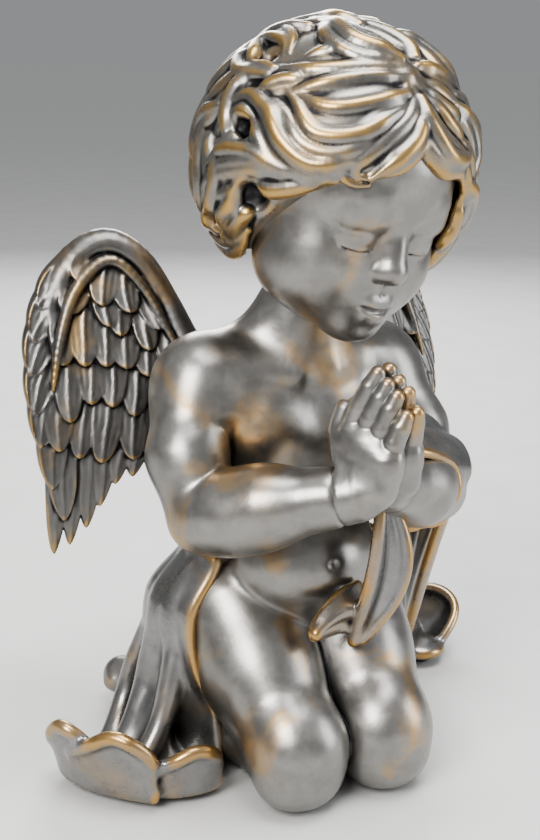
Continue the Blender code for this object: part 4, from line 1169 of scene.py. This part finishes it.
def rubbed_resin(name, silver, gold, dark, rough, edge, hollow, gold_share=1.0, cloud=0.5, metal=0.9):
    """Cold-cast resin painted silver: gold rubbed on what stands out, dark patina with painted shade in the creases,
    and painted shade in the broad hollows and where figure and floor enclose it.
    """
    m = Nodes(name)
    fine, broad, shade = m.attribute("fine"), m.attribute("broad"), m.attribute("shade")
    big, mid, small = m.noise(38, 3, 0.55, 0.6), m.noise(150, 5, 0.6, 0.3), m.noise(900, 3, 0.6)
    tone = m.mix(m.remap(mid, 0.35, 0.68), silver, tuple(min(1, 1.22 * c) for c in silver))
    worn = m.math("MULTIPLY", m.remap(big, 0.52, 0.66), m.remap(mid, 0.30, 0.62, 0.35, 1.0))
    tone = m.mix(m.math("MULTIPLY", worn, cloud), tone, gold)
    # rubbed edges, broken up by noise
    out = m.math("ADD", m.math("MULTIPLY", fine, -1.0), m.math("MULTIPLY", broad, -0.35))
    out = m.math("ADD", out, m.remap(mid, 0.3, 0.7, -0.035, 0.035, False))
    rub = m.math("MULTIPLY", m.remap(out, edge[0], edge[1]), m.remap(big, 0.30, 0.55, 0.45 * gold_share, gold_share))
    tone = m.mix(rub, tone, gold)
    # dark patina with painted shade in fine creases, painted shade in broad hollows, and painted shade from the
    # shelter of the whole figure and the floor
    deep = m.remap(fine, hollow[0], hollow[1])
    wide = m.math("MULTIPLY", m.remap(broad, hollow[2], hollow[3]), 0.8)
    # painted shade where the whole figure and the floor shelter the surface
    painted_occlusion = m.math("MULTIPLY", m.remap(shade, 0.46, 0.80), 0.85)
    patina_and_shade = m.math("MAXIMUM", m.math("MAXIMUM", deep, wide), painted_occlusion)
    patina_and_shade = m.math("MULTIPLY", patina_and_shade, m.remap(mid, 0.25, 0.6, 0.78, 1.0))
    # base colour darkened by the patina and the painted shade
    m.link(m.bsdf.inputs["Base Color"], m.mix(patina_and_shade, tone, dark))
    base = m.remap(mid, 0.3, 0.7, rough - 0.05, rough + 0.06, False)
    m.link(m.bsdf.inputs["Roughness"], m.math("ADD", base, m.math("MULTIPLY", patina_and_shade, 0.16)))
    m.bsdf.inputs["Metallic"].default_value = metal
    m.bump(m.math("ADD", m.math("MULTIPLY", mid, 0.7), m.math("MULTIPLY", small, 0.3)), 0.22, 0.0004)
    return m.mat


SILVER = (0.245, 0.237, 0.225)
GOLD = (0.46, 0.29, 0.115)
DARK = (0.020, 0.020, 0.022)
looks = {
    "skin_resin": rubbed_resin("silver_skin", SILVER, (0.45, 0.295, 0.135), DARK, 0.33, (0.10, 0.24), (0.05, 0.20, 0.06, 0.22), 0.8, 0.75),
    "hair_resin": rubbed_resin("silver_gold_hair", (0.225, 0.214, 0.197), (0.45, 0.295, 0.115), DARK, 0.30, (0.06, 0.16), (0.01, 0.10, 0.03, 0.15), 0.95, 0.6),
    "wing_resin": rubbed_resin("gunmetal_wing", (0.135, 0.131, 0.126), (0.38, 0.25, 0.105), (0.010, 0.010, 0.011), 0.35, (0.11, 0.25), (0.02, 0.16, 0.03, 0.2), 0.95, 0.7),
    "cloth_resin": rubbed_resin("silver_drapery", (0.235, 0.232, 0.228), GOLD, DARK, 0.29, (0.12, 0.25), (0.02, 0.18, 0.05, 0.22), 0.95, 0.3),
}
for piece in pieces:
    build(piece, looks[piece["slot"]])


def steel():
    m = Nodes("turned_steel")
    grain = m.noise(1400, 2, 0.5)
    m.link(m.bsdf.inputs["Base Color"], m.mix(m.remap(grain, 0.3, 0.7), (0.55, 0.55, 0.56), (0.66, 0.66, 0.67)))
    m.link(m.bsdf.inputs["Roughness"], m.remap(grain, 0.3, 0.7, 0.26, 0.38))
    m.bsdf.inputs["Metallic"].default_value = 1.0
    m.bump(grain, 0.1, 0.0002)
    return m.mat


def rubber():
    m = Nodes("bung_rubber")
    grain = m.noise(700, 3, 0.6)
    m.link(m.bsdf.inputs["Base Color"], m.mix(m.remap(grain, 0.3, 0.7), (0.030, 0.030, 0.031), (0.055, 0.054, 0.053)))
    m.link(m.bsdf.inputs["Roughness"], m.remap(grain, 0.3, 0.7, 0.62, 0.8))
    m.bump(grain, 0.3, 0.0003)
    return m.mat


def felt():
    m = Nodes("black_felt")
    fibre = m.noise(2600, 4, 0.7, 1.2)
    m.link(m.bsdf.inputs["Base Color"], m.mix(m.remap(fibre, 0.3, 0.7), (0.014, 0.014, 0.014), (0.05, 0.05, 0.05)))
    m.link(m.bsdf.inputs["Roughness"], m.remap(fibre, 0.3, 0.7, 0.88, 1.0))
    m.bump(fibre, 0.8, 0.0005)
    return m.mat


finishes = {"pin": steel(), "plug": rubber(), "pad": felt()}
for name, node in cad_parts.items():
    kind = name.rsplit("_", 1)[-1]
    if kind in finishes:
        node.data.materials.clear()
        node.data.materials.append(finishes[kind])

# ============================================================ floor and light
bpy.ops.mesh.primitive_plane_add(size=40.0, location=(0, 0, -0.0004))
floor = bpy.context.object
floor.name = "pale_floor"
paper = Nodes("pale_floor_paint")
grain = paper.noise(30, 2, 0.5)
paper.link(paper.bsdf.inputs["Base Color"], paper.mix(paper.remap(grain, 0.3, 0.7), (0.60, 0.60, 0.59), (0.63, 0.63, 0.62)))
paper.bsdf.inputs["Roughness"].default_value = 0.7
floor.data.materials.append(paper.mat)

world = bpy.data.worlds.new("studio")
bpy.context.scene.world = world
world.use_nodes = True
world.node_tree.nodes["Background"].inputs[0].default_value = (0.62, 0.63, 0.65, 1)
world.node_tree.nodes["Background"].inputs[1].default_value = 0.42


def softbox(name, at, aim, size, power, colour=(1, 1, 1)):
    lamp = bpy.data.lights.new(name, "AREA")
    lamp.shape = "RECTANGLE"
    lamp.size, lamp.size_y = size
    lamp.energy = power
    lamp.color = colour
    ob = bpy.data.objects.new(name, lamp)
    bpy.context.scene.collection.objects.link(ob)
    ob.location = at
    ob.rotation_euler = (Vector(aim) - Vector(at)).to_track_quat("-Z", "Y").to_euler()
    return ob


sun = bpy.data.lights.new("sky", "SUN")
sun.angle = 2.4
sun.energy = 0.55
sky = bpy.data.objects.new("sky", sun)
bpy.context.scene.collection.objects.link(sky)
sky.rotation_euler = (math.radians(20), math.radians(-15), 0)
softbox("key", (-0.75, -0.55, 0.75), (0, 0, 0.12), (0.5, 0.5), 13, (1.0, 0.985, 0.96))
softbox("top", (0.05, -0.15, 0.95), (0, 0, 0.1), (0.6, 0.5), 8)
softbox("fill", (0.75, -0.55, 0.35), (0, 0, 0.12), (0.4, 0.6), 4, (0.95, 0.97, 1.0))
softbox("rim", (0.35, 0.8, 0.55), (0, 0, 0.12), (0.5, 0.4), 6)

# ------------------------------------------------------------------ the camera
camera = bpy.data.cameras.new("view")
camera.lens = 60
camera.sensor_width = 36
camera.clip_start = 0.01
eye = bpy.data.objects.new("view", camera)
bpy.context.scene.collection.objects.link(eye)
at = Vector((arr((-193.6, -344.8, 208.4)) + SHIFT) * 0.001)
to = Vector((arr((-7.3, 3.9, 105.5)) + SHIFT) * 0.001)
ahead = (to - at).normalized()
right = ahead.cross(Vector((0, 0, 1))).normalized()
up = right.cross(ahead)
roll = math.radians(0.99)
r_axis = math.cos(roll) * right + math.sin(roll) * up
u_axis = -math.sin(roll) * right + math.cos(roll) * up
m = Matrix((r_axis, u_axis, -ahead)).transposed().to_4x4()
m.translation = at
eye.matrix_world = m
bpy.context.scene.camera = eye
bpy.context.scene.view_settings.view_transform = "AgX"
bpy.context.scene.view_settings.look = "AgX - Medium High Contrast"
